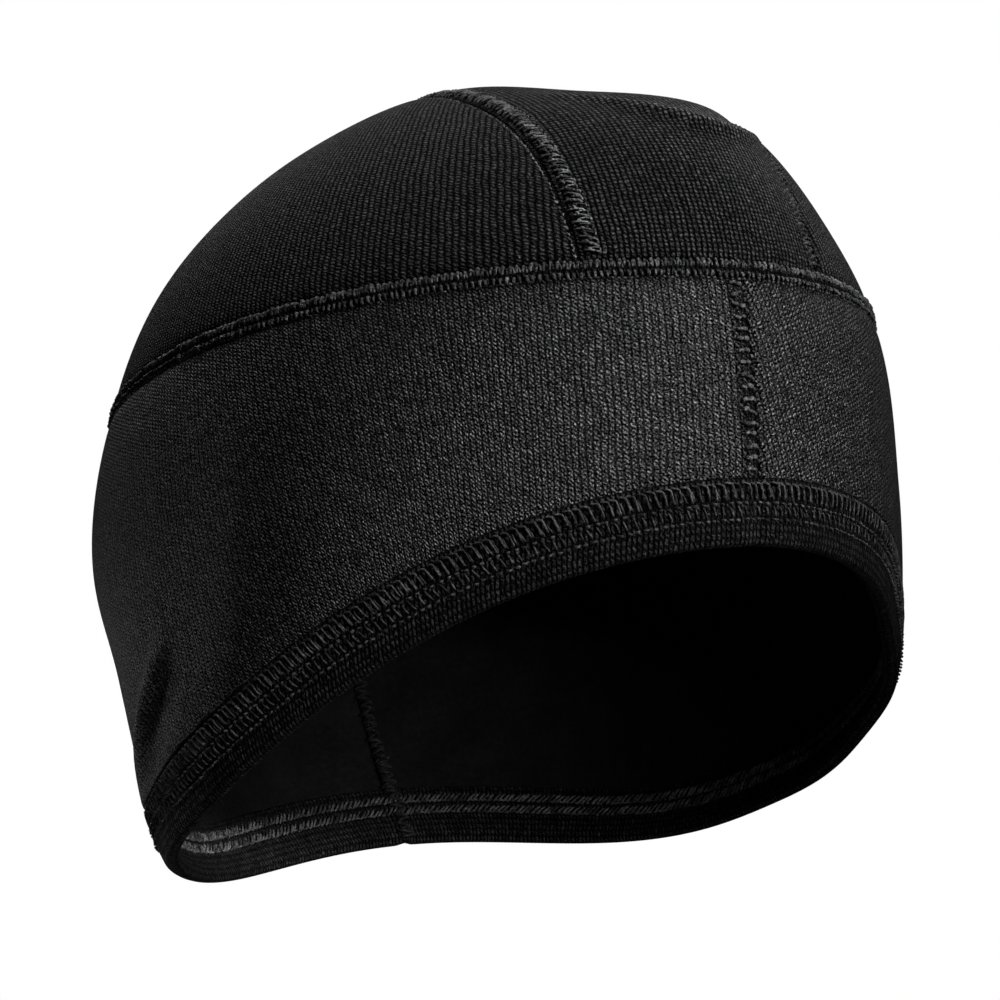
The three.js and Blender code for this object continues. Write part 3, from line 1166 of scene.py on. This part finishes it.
@dataclass
class BandHalf:
    """Half of the deep band, from the middle of the forehead round to the middle of the back."""

    form: HeadForm
    wardrobe: Wardrobe
    side: Wearer
    gap: float = 0.1 * MM
    turn_segments: int = 260
    height_segments: int = 96
    lean: float = 0.0
    side_lean: float = 0.0
    side_lean_start: float = 30.0 * MM
    side_lean_end: float = 90.0 * MM
    turn_ease: float = 0.75

    def build(self) -> bpy.types.Object:
        """Builds and dresses the half.

        Returns:
            The half's object.
        """
        form = self.form
        share = np.linspace(0.0, 1.0, self.turn_segments + 1)
        share = share - self.turn_ease * np.sin(2.0 * math.pi * share) / (2.0 * math.pi)
        first = (self.gap + self.side.value * form.front_turn) / form.front.reach
        last = math.pi - self.gap / form.side.reach
        turn = first + (last - first) * share
        foot = form.depth_above_rim(turn, form.hem_height)
        share = np.linspace(0.0, 1.0, DRAFT_POINTS)
        top = form.band_seam_depth(turn)
        depth = top[:, None] + (foot - top)[:, None] * share
        columns = form.point(turn[:, None] + 0.0 * depth, depth)
        gap, wardrobe, count = self.gap, self.wardrobe, self.height_segments
        formed = np.stack([even_steps(column, gap, gap, count, EDGE_EASE) for column in columns])
        drop = np.stack([arc_lengths(column) for column in formed])
        level = form.point(turn, 0.0 * turn + form.front.girth_depth)
        along = arc_lengths(level)[:, None] + 0.0 * drop
        formed = formed * np.array([self.side.value, 1.0, 1.0])
        name = "band_left" if self.side is Wearer.LEFT else "band_right"
        lean = self.lean + self.side_lean * smooth_step(self.side_lean_start, self.side_lean_end, along)
        net = ClothNet(name + "_knit", formed, along + lean * drop, -drop)
        piece = net.shell(form, wardrobe.of(wardrobe.band), wardrobe.of(wardrobe.pile))
        dress(piece, name)
        return piece


@dataclass
class RimHem:
    """The rim's folded hem: cloth turned in on itself, with a round roll at the edge."""

    form: HeadForm
    wardrobe: Wardrobe
    turn_segments: int = 420
    waist: float = 0.5 * MM
    waist_height: float = 7.0 * MM
    waist_rise: float = 2.5 * MM
    waist_spread: float = 5.0 * MM
    section_points: int = 13

    def section(self) -> list[tuple[float, float]]:
        """The hem's section.

        Returns:
            Height above the rim and distance in from the outer face, round the fold.
        """
        wall = self.form.hem_wall
        radius = wall / 2.0
        heights = np.linspace(self.form.hem_height, radius, self.section_points)
        rows = []
        for height in heights:
            rows.append((height, self.pinch(height)))
        for turn in np.linspace(0.0, math.pi, self.section_points)[1:-1]:
            rows.append((radius * (1.0 - math.sin(turn)), radius * (1.0 - math.cos(turn))))
        for height in heights[::-1]:
            rows.append((height, wall - self.pinch(height)))
        return rows

    def pinch(self, height: float) -> float:
        """How far the stitches draw each face in at a height above the rim."""
        off = (height - self.waist_height - self.waist_rise) / self.waist_spread
        return self.waist * math.exp(-(off**2))

    def build(self) -> bpy.types.Object:
        """Builds and dresses the hem.

        Returns:
            The hem's object.
        """
        form = self.form
        section = self.section()
        azimuth = np.linspace(-math.pi, math.pi, self.turn_segments, endpoint=False)
        loops = []
        for height, inward in section:
            formed = form.point(azimuth, form.depth_above_rim(azimuth, height))
            loops.append(form.cloth(formed, inward))
        net = np.stack(loops, axis=1)
        count = len(section)
        index = np.arange(self.turn_segments * count).reshape(self.turn_segments, count)
        ahead = np.roll(index, -1, axis=0)
        a, b = index, ahead
        c, d = np.roll(ahead, -1, axis=1), np.roll(index, -1, axis=1)
        faces = np.stack([a, d, c, b], axis=-1).reshape(-1, 4)
        face = self.wardrobe.of(self.wardrobe.hem)
        piece = new_object("rim_hem_knit", net.reshape(-1, 3), faces.tolist(), [face])
        down = arc_lengths(net[0])
        middle = np.append(net[:, count // 2], net[:1, count // 2], axis=0)
        along = arc_lengths(middle)[:-1]
        knit = np.stack(np.meshgrid(along, -down, indexing="ij"), axis=-1).reshape(-1, 2)
        write_map(piece.data, "knit", knit)
        write_map(piece.data, "seam", np.ones_like(knit))
        dress(piece, "rim_hem")
        return piece


@dataclass
class SeamPath:
    """A line on the cloth with its directions: along it, out of the cloth and across it."""

    points: Array
    outward: Array
    rise: Callable[[Array], Array] | None = None

    def __post_init__(self) -> None:
        """Works out lengths and directions."""
        self.lengths = arc_lengths(self.points)
        self.total = float(self.lengths[-1])
        self.along = unit(np.gradient(self.points, axis=0))
        self.across = unit(np.cross(self.outward, self.along))

    @classmethod
    def on_form(cls, form: HeadForm, formed: Array, inward: float = 0.0) -> "SeamPath":
        """Makes a path from places on the form.

        Args:
            form: the head form.
            formed: places on it, one a row.
            inward: distance in from the cloth's outer face; past half the wall it faces inwards.

        Returns:
            The path.
        """
        azimuth = np.arctan2(formed[:, 0], -formed[:, 1])
        outward = form.outward(azimuth, np.maximum(-formed[:, 2], 0.0))
        facing = 1.0 if inward < form.fabric_wall / 2.0 else -1.0
        return cls(form.cloth(formed, inward), outward * facing)

    def at(self, along: Array, across: Array, lift: Array) -> Array:
        """Places beside the path.

        Args:
            along: distances along the path.
            across: distances to its side.
            lift: distances out of the cloth.

        Returns:
            The places.
        """
        def pick(values: Array) -> Array:
            """Reads values along the path."""
            return np.stack([np.interp(along, self.lengths, values[:, axis]) for axis in range(3)], axis=-1)

        if self.rise:
            lift = lift + self.rise(across)
        beside = pick(self.points) + pick(self.across) * across[..., None]
        return beside + pick(self.outward) * lift[..., None]


def sweep_threads(paths: Array, radius: Array, sides: int) -> tuple[Array, list]:
    """Sweeps round threads along many short paths of the same number of points.

    Args:
        paths: places, by thread and by point.
        radius: each thread's radius.
        sides: number of sides of the thread's section.

    Returns:
        The vertices and the faces of all the threads.
    """
    threads, steps = paths.shape[:2]
    along = unit(np.gradient(paths, axis=1))
    helper = np.where(np.abs(along[..., 2:]) < 0.9, UP, np.array([1.0, 0.0, 0.0]))
    first = unit(np.cross(along, helper))
    second = np.cross(along, first)
    turns = np.linspace(0.0, 2.0 * math.pi, sides, endpoint=False)
    taper = np.ones(steps)
    taper[[0, -1]] = THREAD_END_TAPER
    ring = first[:, :, None] * np.cos(turns)[:, None] + second[:, :, None] * np.sin(turns)[:, None]
    points = paths[:, :, None] + ring * (radius[:, None] * taper)[:, :, None, None]
    index = np.arange(threads * steps * sides).reshape(threads, steps, sides)
    near, far = index[:, :-1], index[:, 1:]
    quads = np.stack([near, far, np.roll(far, -1, axis=2), np.roll(near, -1, axis=2)], axis=-1).reshape(-1, 4)
    starts = index[:, 0].reshape(-1, sides)
    ends = index[:, -1][:, ::-1].reshape(-1, sides)
    return points.reshape(-1, 3), quads.tolist() + starts.tolist() + ends.tolist()


@dataclass
class Stitching:
    """Gathers the threads of one line of sewing into one piece."""

    name: str
    wardrobe: Wardrobe
    seed: int
    thread: ThreadFinish | None = None
    parts: list[tuple[Array, list]] = field(default_factory=list)

    def __post_init__(self) -> None:
        """Starts the source of the small differences between stitches."""
        self.rng = np.random.default_rng(self.seed)

    def add(self, paths: Array, radius: float, sides: int = 5) -> None:
        """Adds threads, each a little thicker or thinner than the radius."""
        self.parts.append(sweep_threads(paths, radius * (1.0 + self.jitter(len(paths), 0.25)), sides))

    def jitter(self, count: int, amount: float) -> Array:
        """Small even random offsets, centred on zero."""
        return (self.rng.random(count) - 0.5) * 2.0 * amount

    def places(self, path: SeamPath, pitch: float, shift: float = 0.0) -> Array:
        """Places of stitches along a path, at a pitch that divides it and is a little uneven.

        Args:
            path: the line that the stitches follow.
            pitch: distance from stitch to stitch.
            shift: how far the stitches are moved along, in pitches.

        Returns:
            The distances along the path.
        """
        count = max(int(path.total / pitch), 1)
        place = (np.arange(count) + 0.5 + shift) * path.total / count
        return place + self.jitter(count, pitch * 0.14)

    def rungs(self, path: SeamPath, pitch: float, low: float, high: float, lift: float, radius: float,
              lean: float = 0.0, shift: float = 0.0, steps: int = 6) -> None:
        """Adds threads that cross a seam side by side, like the rungs of a ladder.

        Args:
            path: the seam.
            pitch: distance from rung to rung.
            low: one end of a rung, across the seam.
            high: the other end.
            lift: height of a rung's middle over the cloth.
            radius: the thread's radius.
            lean: how far a rung's far end is ahead of its near end.
            shift: how far the rungs are moved along, in pitches.
            steps: number of steps along a rung.
        """
        place = self.places(path, pitch, shift)
        share = np.linspace(0.0, 1.0, steps + 1)
        spread = self.jitter(len(place), abs(high - low) * 0.09)
        across = (low + spread)[:, None] + (high - low) * share
        tilt = lean + self.jitter(len(place), pitch * 0.2)
        along = place[:, None] + tilt[:, None] * (share - 0.5)
        rise = lift * (1.0 + self.jitter(len(place), 0.2))
        height = rise[:, None] * (np.sin(np.pi * share) ** 0.35) - 0.05 * MM
        self.add(path.at(np.clip(along, 0.0, path.total), across, height), radius)

    def dashes(self, path: SeamPath, pitch: float, length: float, across: float, lift: float, radius: float,
               turn: float = 0.0, shift: float = 0.0, steps: int = 4) -> None:
        """Adds the short stitches of a needle row.

        Args:
            path: the line that the row follows.
            pitch: distance from stitch to stitch.
            length: length of a stitch.
            across: place of the row across the path.
            lift: height of a stitch's middle over the cloth.
            radius: the thread's radius.
            turn: how far each stitch runs across the row from end to end.
            shift: how far the stitches are moved along, in pitches.
            steps: number of steps along a stitch.
        """
        place = self.places(path, pitch, shift)
        share = np.linspace(-0.5, 0.5, steps + 1)
        along = place[:, None] + length * share
        tilt = turn + self.jitter(len(place), 0.15 * MM)
        side = across + self.jitter(len(place), 0.12 * MM)[:, None] + tilt[:, None] * share
        height = lift * np.cos(np.pi * share) - 0.06 * MM
        self.add(path.at(np.clip(along, 0.0, path.total), side, height + 0.0 * along), radius)

    def hooks(self, path: SeamPath, pitch: float, top: float, foot: float, lean: float, lift: float,
              radius: float, steps: int = 10) -> None:
        """Adds loops that run along the row's top and then turn down, like hooks side by side.

        Args:
            path: the line that the row follows.
            pitch: distance from hook to hook.
            top: place of the hooks' tops across the path.
            foot: place of their feet.
            lean: how far a foot is ahead of its top.
            lift: height over the cloth.
            radius: the thread's radius.
            steps: number of steps along a hook.
        """
        place = self.places(path, pitch)
        share = np.linspace(0.0, 1.0, steps + 1)
        drop = smooth_step(0.1, 1.0, share)
        ahead = 0.8 * pitch * (np.minimum(share / 0.3, 1.0) - 1.0) + lean * drop
        along = place[:, None] + ahead * (1.0 + self.jitter(len(place), 0.15))[:, None]
        reach = (foot - top) * (1.0 + self.jitter(len(place), 0.1))
        across = top + self.jitter(len(place), 0.1 * MM)[:, None] + reach[:, None] * drop
        height = lift * np.sin(np.pi * np.clip(share, 0.12, 0.97)) ** 0.5
        self.add(path.at(np.clip(along, 0.0, path.total), across, height + 0.0 * along), radius)

    def build(self) -> bpy.types.Object:
        """Joins the threads into one dressed piece.

        Returns:
            The piece.
        """
        points, faces, offset = [], [], 0
        for part_points, part_faces in self.parts:
            points.append(part_points)
            faces += [[number + offset for number in face] for face in part_faces]
            offset += len(part_points)
        thread = self.wardrobe.of(self.thread or self.wardrobe.thread)
        piece = new_object(self.name, np.concatenate(points), faces, [thread])
        dress(piece)
        return piece


@dataclass
class BandSeam:
    """The seam between crown and band: a raised cover-stitched strip all round the head."""

    form: HeadForm
    wardrobe: Wardrobe
    half_width: float = 1.65 * MM
    rise: float = 1.05 * MM
    pitch: float = 1.2 * MM

    def path(self) -> SeamPath:
        """The seam's path, once round the head from the back."""
        azimuth = np.linspace(-math.pi, math.pi, ROUND_POINTS)
        return SeamPath.on_form(self.form, self.form.point(azimuth, self.form.band_seam_depth(azimuth)))

    def build(self) -> None:
        """Builds and dresses the raised strip and its stitches."""
        path = self.path()
        tape_strip("band_seam_tape", path, self.half_width, self.rise, self.wardrobe)
        up = 1.0 if path.across[ROUND_POINTS // 2, 2] > 0.0 else -1.0
        top = self.rise + 0.25 * MM
        sewing = Stitching("band_seam_stitches", self.wardrobe, 11, self.wardrobe.seam_thread)
        sewing.rungs(path, self.pitch, low=up * 0.1 * MM, high=up * 1.75 * MM, lift=top,
                     radius=0.33 * MM, lean=0.3 * MM)
        sewing.rungs(path, self.pitch, low=up * 0.0 * MM, high=up * 1.5 * MM, lift=top - 0.15 * MM,
                     radius=0.2 * MM, lean=-0.3 * MM, shift=0.5)
        sewing.rungs(path, self.pitch, low=up * -0.6 * MM, high=up * -1.7 * MM, lift=top - 0.1 * MM,
                     radius=0.3 * MM, shift=0.4)
        sewing.dashes(path, self.pitch, length=0.75 * MM, across=up * -1.75 * MM, lift=0.7 * MM,
                      radius=0.17 * MM, shift=0.9)
        sewing.dashes(path, self.pitch * 1.4, length=0.5 * MM, across=up * 2.6 * MM, lift=0.2 * MM,
                      radius=0.16 * MM, shift=0.5)
        sewing.build()


def tape_strip(name: str, path: SeamPath, half_width: float, rise: float, wardrobe: Wardrobe,
               sink: float = 0.5 * MM) -> bpy.types.Object:
    """Lays a low rounded strip of cloth over a seam.

    Args:
        name: the piece's name.
        path: the seam.
        half_width: half of the strip's width.
        rise: height of its middle over the cloth.
        wardrobe: the finishes.
        sink: how far its underside lies in the seam.

    Returns:
        The strip, as a closed body.
    """
    steps = max(int(path.total / (1.2 * MM)), 8)
    along = np.linspace(0.0, path.total, steps + 1)
    turns = np.linspace(0.0, math.pi, 9)
    across = np.concatenate([half_width * np.cos(turns), [-half_width * 0.6, half_width * 0.6]])
    lift = np.concatenate([rise * np.sin(turns) ** 0.8 - 0.1 * MM, [-sink, -sink]])
    net = path.at(along[:, None] + 0.0 * across, across + 0.0 * along[:, None], lift + 0.0 * along[:, None])
    rows, columns = net.shape[:2]
    index = np.arange(rows * columns).reshape(rows, columns)
    near, far = index[:-1], index[1:]
    quads = np.stack([near, np.roll(near, -1, axis=1), np.roll(far, -1, axis=1), far], axis=-1)
    faces = quads.reshape(-1, 4).tolist()
    faces += [index[0][::-1].tolist(), index[-1].tolist()]
    piece = new_object(name, net.reshape(-1, 3), faces, [wardrobe.of(wardrobe.hem)])
    knit = np.stack([along[:, None] + 0.0 * across, across + 0.0 * along[:, None]], axis=-1).reshape(-1, 2)
    write_map(piece.data, "knit", knit)
    # An even 0.6 in the seam map darkens the whole strip's knit colour.
    write_map(piece.data, "seam", 0.6 * np.ones_like(knit))
    dress(piece)
    return piece


@dataclass
class CrownSeam:
    """A seam along one edge of the crown's middle panel, with a ladder of thread beside a groove."""

    form: HeadForm
    wardrobe: Wardrobe
    side: Wearer
    ladder_start: float = 0.5 * MM
    ladder_end: float = 3.7 * MM
    rise: float = 0.3 * MM
    pitch: float = 1.5 * MM
    end_trim: float = 2.4 * MM
    line_steps: int = 300

    def build(self) -> None:
        """Builds and dresses the seam's stitches."""
        line = self.form.crown_lines(np.array([float(self.side.value)]), self.line_steps)[0]
        line = even_steps(line, self.end_trim, self.end_trim, self.line_steps)
        path = SeamPath.on_form(self.form, line)
        path.rise = self.form.seam_rise
        sign = -self.side.value * np.sign(path.across[self.line_steps // 2, 0])
        near, far = sign * self.ladder_start, sign * self.ladder_end
        name = "crown_seam_" + self.side.name.lower() + "_stitches"
        # The wearer's left seam takes the dimmer hem thread, a darker copy of the same thread.
        thread = self.wardrobe.thread if self.side is Wearer.RIGHT else self.wardrobe.hem_thread
        sewing = Stitching(name, self.wardrobe, 21 + self.side.value, thread)
        sewing.rungs(path, self.pitch, low=near * 1.2, high=far, lift=self.rise, radius=0.25 * MM,
                     lean=-1.7 * MM)
        sewing.rungs(path, self.pitch, low=near * 3.0, high=far, lift=self.rise, radius=0.14 * MM,
                     lean=-0.6 * MM, shift=0.45)
        sewing.dashes(path, self.pitch, length=0.6 * MM, across=near * 3.6, lift=0.42 * MM,
                      radius=0.3 * MM, turn=0.5 * MM, shift=0.2)
        sewing.dashes(path, self.pitch * 0.8, length=0.5 * MM, across=near * -2.0, lift=0.2 * MM,
                      radius=0.16 * MM, turn=0.4 * MM)
        sewing.dashes(path, self.pitch, length=0.8 * MM, across=far, lift=0.3 * MM, radius=0.2 * MM)
        sewing.dashes(path, self.pitch, length=0.7 * MM, across=-0.7 * sign * MM, lift=0.2 * MM,
                      radius=0.16 * MM)
        sewing.build()


@dataclass
class MiddleSeam:
    """The seam that joins the band's halves, in the middle of the forehead or of the back."""

    form: HeadForm
    wardrobe: Wardrobe
    azimuth: float
    name: str
    pitch: float = 2.05 * MM
    line_steps: int = 160
    top_trim: float = 1.8 * MM
    foot_trim: float = 0.3 * MM

    def formed(self, start_height: float) -> Array:
        """Places on the form down the seam.

        Args:
            start_height: height above the rim at which the line ends.

        Returns:
            The places, from the band seam down.
        """
        foot = float(self.form.depth_above_rim(np.array(self.azimuth), np.array(start_height)))
        top = float(self.form.band_seam_depth(np.array(self.azimuth)))
        depth = np.linspace(top, foot, self.line_steps + 1)
        line = self.form.point(self.azimuth + 0.0 * depth, depth)
        return even_steps(line, self.top_trim, self.foot_trim, self.line_steps)

    def build(self) -> None:
        """Builds and dresses the seam's stitches, outside and inside."""
        outside = SeamPath.on_form(self.form, self.formed(self.form.hem_height))
        outside.rise = self.form.seam_rise
        sewing = Stitching(self.name + "_stitches", self.wardrobe, 31, self.wardrobe.seam_thread)
        right = -np.sign(outside.across[self.line_steps // 2, 0])
        sewing.rungs(outside, self.pitch, low=right * 0.95 * MM, high=right * 2.2 * MM, lift=0.6 * MM,
                     radius=0.42 * MM, steps=4)
        sewing.rungs(outside, self.pitch, low=right * 2.3 * MM, high=right * 3.5 * MM, lift=0.55 * MM,
                     radius=0.38 * MM, steps=4)
        sewing.dashes(outside, self.pitch, length=0.8 * MM, across=right * 3.8 * MM, lift=0.35 * MM,
                      radius=0.17 * MM, shift=0.5)
        sewing.dashes(outside, self.pitch, length=0.75 * MM, across=right * 0.05 * MM, lift=0.45 * MM,
                      radius=0.24 * MM, shift=0.2)
        sewing.build()
        self.build_inside()

    def build_inside(self) -> None:
        """Builds and dresses the overlocked seam edge on the inside."""
        form = self.form
        inside = SeamPath.on_form(form, self.formed(form.hem_height - 1.0 * MM), form.fabric_wall)
        tape_strip(self.name + "_inner_edge", inside, 1.5 * MM, 1.0 * MM, self.wardrobe)
        hem = SeamPath.on_form(form, self.formed(0.2 * MM)[-40:], form.hem_wall)
        # The overlock takes the darkest copy of the thread, painted shade inside the cap.
        sewing = Stitching(self.name + "_inner_overlock", self.wardrobe, 41, self.wardrobe.shaded_thread)
        for line, rise in ((inside, 1.2 * MM), (hem, 0.5 * MM)):
            sewing.rungs(line, 2.4 * MM, low=-1.8 * MM, high=1.8 * MM, lift=rise, radius=0.42 * MM,
                         lean=1.2 * MM)
            sewing.rungs(line, 2.4 * MM, low=-1.6 * MM, high=1.8 * MM, lift=rise, radius=0.3 * MM,
                         lean=-1.2 * MM, shift=0.5)
        sewing.build()


@dataclass
class HemStitches:
    """The hem's cover stitch: looped and dotted rows outside, and two rows of slanted stitches inside."""

    form: HeadForm
    wardrobe: Wardrobe
    top_row: float = 11.4 * MM
    middle_row: float = 8.1 * MM
    low_row: float = 5.2 * MM
    pitch: float = 1.65 * MM

    def row(self, height: float, inward: float = 0.0) -> SeamPath:
        """Makes a path round the rim.

        Args:
            height: the path's height above the rim.
            inward: distance in from the cloth's outer face.

        Returns:
            The path.
        """
        azimuth = np.linspace(-math.pi, math.pi, ROUND_POINTS)
        formed = self.form.point(azimuth, self.form.depth_above_rim(azimuth, height))
        return SeamPath.on_form(self.form, formed, inward)

    def build(self) -> None:
        """Builds and dresses the rows outside and inside."""
        outside = Stitching("hem_stitches_outside", self.wardrobe, 51, self.wardrobe.hem_thread)
        top = self.row(self.top_row, 0.3 * MM)
        up = 1.0 if top.across[ROUND_POINTS // 2, 2] > 0.0 else -1.0
        outside.hooks(top, self.pitch, top=up * 0.3 * MM, foot=-up * 2.5 * MM, lean=0.45 * MM,
                      lift=0.5 * MM, radius=0.19 * MM)
        outside.rungs(top, self.pitch, low=-up * 0.6 * MM, high=-up * 2.6 * MM, lift=0.3 * MM,
                      radius=0.14 * MM, lean=0.5 * MM, shift=0.35)
        middle = self.row(self.middle_row, 0.3 * MM)
        outside.dashes(middle, self.pitch, length=0.75 * MM, across=0.0, lift=0.45 * MM, radius=0.24 * MM)
        outside.rungs(middle, self.pitch, low=-up * 0.5 * MM, high=-up * 2.3 * MM, lift=0.25 * MM,
                      radius=0.17 * MM, lean=0.5 * MM)
        low = self.row(self.low_row, 0.15 * MM)
        outside.dashes(low, self.pitch * 0.96, length=0.85 * MM, across=0.0, lift=0.4 * MM,
                       radius=0.22 * MM)
        outside.build()
        # The inner rows take a dimmer copy of the thread, painted shade.
        inside = Stitching("hem_stitches_inside", self.wardrobe, 61, self.wardrobe.inner_thread)
        for height in (9.7 * MM, 6.9 * MM):
            chain = self.row(height, self.form.hem_wall - 0.1 * MM)
            inside.rungs(chain, 1.3 * MM, low=-1.1 * MM, high=1.1 * MM, lift=0.35 * MM,
                         radius=0.3 * MM, lean=2.0 * MM, steps=4)
            inside.dashes(chain, 1.4 * MM, length=0.9 * MM, across=0.9 * MM, lift=0.45 * MM,
                          radius=0.2 * MM, shift=0.5)
        inside.build()


@dataclass
class Studio:
    """The plain floor, the soft lights and the camera."""

    floor_drop: float = 0.95
    aim_drop: float = 0.085
    floor_half: float = 0.6
    eye: tuple[float, float, float] = (-0.1913, -0.3707, -0.1189)
    yaw: float = math.radians(-27.3)
    pitch: float = math.radians(-4.589)
    roll: float = math.radians(2.362)
    focal_pixels: float = 1844.5
    frame_pixels: float = 1000.0
    sensor_width: float = 36.0
    nearest_seen: float = 0.01
    floor_tone: float = 0.6
    floor_roughness: float = 0.9
    surround_light: float = 0.012
    brow: tuple[float, float, float] = (-0.01, -0.088, -0.064)
    nape: tuple[float, float, float] = (-0.012, 0.085, -0.157)
    ear: tuple[float, float, float] = (-0.084, 0.0, -0.142)
    spot_reach: float = 0.9
    spot_softness: float = 0.06

    def build(self, form: HeadForm) -> None:
        """Builds the studio.

        Args:
            form: the head form, for the height of its top.
        """
        self.build_camera(form)
        self.build_floor()
        self.build_world()
        self.build_lights()

    def build_camera(self, form: HeadForm) -> None:
        """Creates the camera at the photograph's viewing angle.

        Args:
            form: the head form, for the height of its top.
        """
        camera = bpy.data.objects.new("camera", bpy.data.cameras.new("camera"))
        bpy.context.scene.collection.objects.link(camera)
        a, e, r = self.yaw, self.pitch, self.roll
        back = np.array([math.sin(a) * math.cos(e), -math.cos(a) * math.cos(e), math.sin(e)])
        right = np.array([math.cos(a), math.sin(a), 0.0])
        up = np.cross(back, right)
        rolled_right = math.cos(r) * right - math.sin(r) * up
        rolled_up = math.sin(r) * right + math.cos(r) * up
        turn = Matrix([list(row) for row in np.stack([rolled_right, rolled_up, back], axis=1)])
        place = Vector(self.eye) + Vector((0.0, 0.0, form.top))
        camera.matrix_world = Matrix.Translation(place) @ turn.to_4x4()
        camera.data.sensor_width = self.sensor_width
        camera.data.lens = self.sensor_width * self.focal_pixels / self.frame_pixels
        camera.data.clip_start = self.nearest_seen
        bpy.context.scene.camera = camera

    def build_floor(self) -> None:
        """Lays a plain pale floor well below the cap."""
        half, z = self.floor_half, -self.floor_drop
        corners = np.array([[-half, -half, z], [half, -half, z], [half, half, z], [-half, half, z]])
        material = bpy.data.materials.new("pale_floor")
        material.use_nodes = True
        shader = material.node_tree.nodes["Principled BSDF"]
        shader.inputs["Base Color"].default_value = (self.floor_tone, self.floor_tone, self.floor_tone, 1.0)
        shader.inputs["Roughness"].default_value = self.floor_roughness
        floor = new_object("floor", corners, [[0, 1, 2, 3]], [material])

    def build_world(self) -> None:
        """Sets a white surround that lights the cap only a little."""
        world = bpy.data.worlds.new("surround")
        world.use_nodes = True
        bpy.context.scene.world = world
        tree = world.node_tree
        background = tree.nodes["Background"]
        background.inputs["Color"].default_value = (1.0, 1.0, 1.0, 1.0)
        path = tree.nodes.new("ShaderNodeLightPath")
        strength = tree.nodes.new("ShaderNodeMapRange")
        strength.inputs["To Min"].default_value = self.surround_light
        strength.inputs["To Max"].default_value = 1.0
        tree.links.new(path.outputs["Is Camera Ray"], strength.inputs["Value"])
        tree.links.new(strength.outputs["Result"], background.inputs["Strength"])

    def build_lights(self) -> None:
        """Hangs soft lights: in front of the forehead, low in front, behind and above, and at the edges."""
        middle = Vector((0.0, 0.0, -self.aim_drop))
        self.panel("key", middle, azimuth=24.0, climb=15.0, reach=0.42, size=0.16, power=0.1)
        self.panel("front_low", middle, azimuth=25.0, climb=8.0, reach=1.3, size=0.3, power=0.4)
        self.panel("back_high", middle, azimuth=180.0, climb=60.0, reach=1.2, size=0.6, power=2.1)
        self.panel("back_low", middle, azimuth=180.0, climb=35.0, reach=1.2, size=0.6, power=1.3)
        self.panel("back_under", middle, azimuth=-170.0, climb=-30.0, reach=1.2, size=0.4, power=0.4)
        self.panel("edge_left", middle, azimuth=118.0, climb=45.0, reach=1.2, size=0.5, power=3.4)
        self.panel("edge_right", middle, azimuth=-152.0, climb=66.0, reach=1.2, size=0.5, power=2.3)
        self.spot("forehead", Vector(self.brow), azimuth=12.0, climb=20.0, cone=8.4, power=90.0)
        self.spot("nape_inside", Vector(self.nape), azimuth=-6.0, climb=4.0, cone=10.0, power=19.0)
        self.spot("ear", Vector(self.ear), azimuth=-155.0, climb=-5.0, cone=6.5, power=5.5)

    def panel(self, name: str, mark: Vector, azimuth: float, climb: float, reach: float, size: float,
              power: float) -> None:
        """Hangs a soft square light.

        Args:
            name: the light's name.
            mark: the place that it faces.
            azimuth: degrees from the forehead towards the wearer's left.
            climb: degrees above the mark.
            reach: distance from the mark.
            size: length of its sides.
            power: its power in watts.
        """
        data = bpy.data.lights.new(name, "AREA")
        data.shape = "SQUARE"
        data.size = size
        self.hang(name, data, mark, azimuth, climb, reach, power)

    def spot(self, name: str, mark: Vector, azimuth: float, climb: float, cone: float, power: float) -> None:
        """Hangs a spotlight with a wholly soft edge.

        Args:
            name: the light's name.
            mark: the place that it faces.
            azimuth: degrees from the forehead towards the wearer's left.
            climb: degrees above the mark.
            cone: its full angle in degrees.
            power: its power in watts.
        """
        data = bpy.data.lights.new(name, "SPOT")
        data.spot_size = math.radians(cone)
        data.spot_blend = 1.0
        data.shadow_soft_size = self.spot_softness
        self.hang(name, data, mark, azimuth, climb, self.spot_reach, power)

    def hang(self, name: str, data: bpy.types.Light, mark: Vector, azimuth: float, climb: float, reach: float,
             power: float) -> None:
        """Places a light and turns it to its mark.

        Args:
            name: the light's name.
            data: the light.
            mark: the place that it faces.
            azimuth: degrees from the forehead towards the wearer's left.
            climb: degrees above the mark.
            reach: distance from the mark.
            power: its power in watts.
        """
        turn, rise = math.radians(azimuth), math.radians(climb)
        away = Vector((math.sin(turn) * math.cos(rise), -math.cos(turn) * math.cos(rise), math.sin(rise)))
        data.energy = power
        lamp = bpy.data.objects.new(name, data)
        bpy.context.scene.collection.objects.link(lamp)
        lamp.location = mark + away * reach
        lamp.rotation_euler = away.to_track_quat("Z", "Y").to_euler()
        lamp.visible_camera = False


def main() -> None:
    """Builds the studio and the cap's pieces in order."""
    bpy.context.scene.view_settings.view_transform = "Standard"
    form = head_form()
    Studio().build(form)
    wardrobe = Wardrobe()
    CrownStrip(form, wardrobe).build()
    for side in Wearer:
        CrownSide(form, wardrobe, side).build()
        lean, side_lean = (0.0, 0.3) if side is Wearer.RIGHT else (-0.25, 0.0)
        BandHalf(form, wardrobe, side, lean=lean, side_lean=side_lean).build()
    RimHem(form, wardrobe).build()
    BandSeam(form, wardrobe).build()
    for side in Wearer:
        CrownSeam(form, wardrobe, side).build()
    MiddleSeam(form, wardrobe, form.front_turn / form.front.reach, "forehead_seam").build()
    MiddleSeam(form, wardrobe, math.pi, "nape_seam").build()
    HemStitches(form, wardrobe).build()


if __name__ == "__main__":
    main()
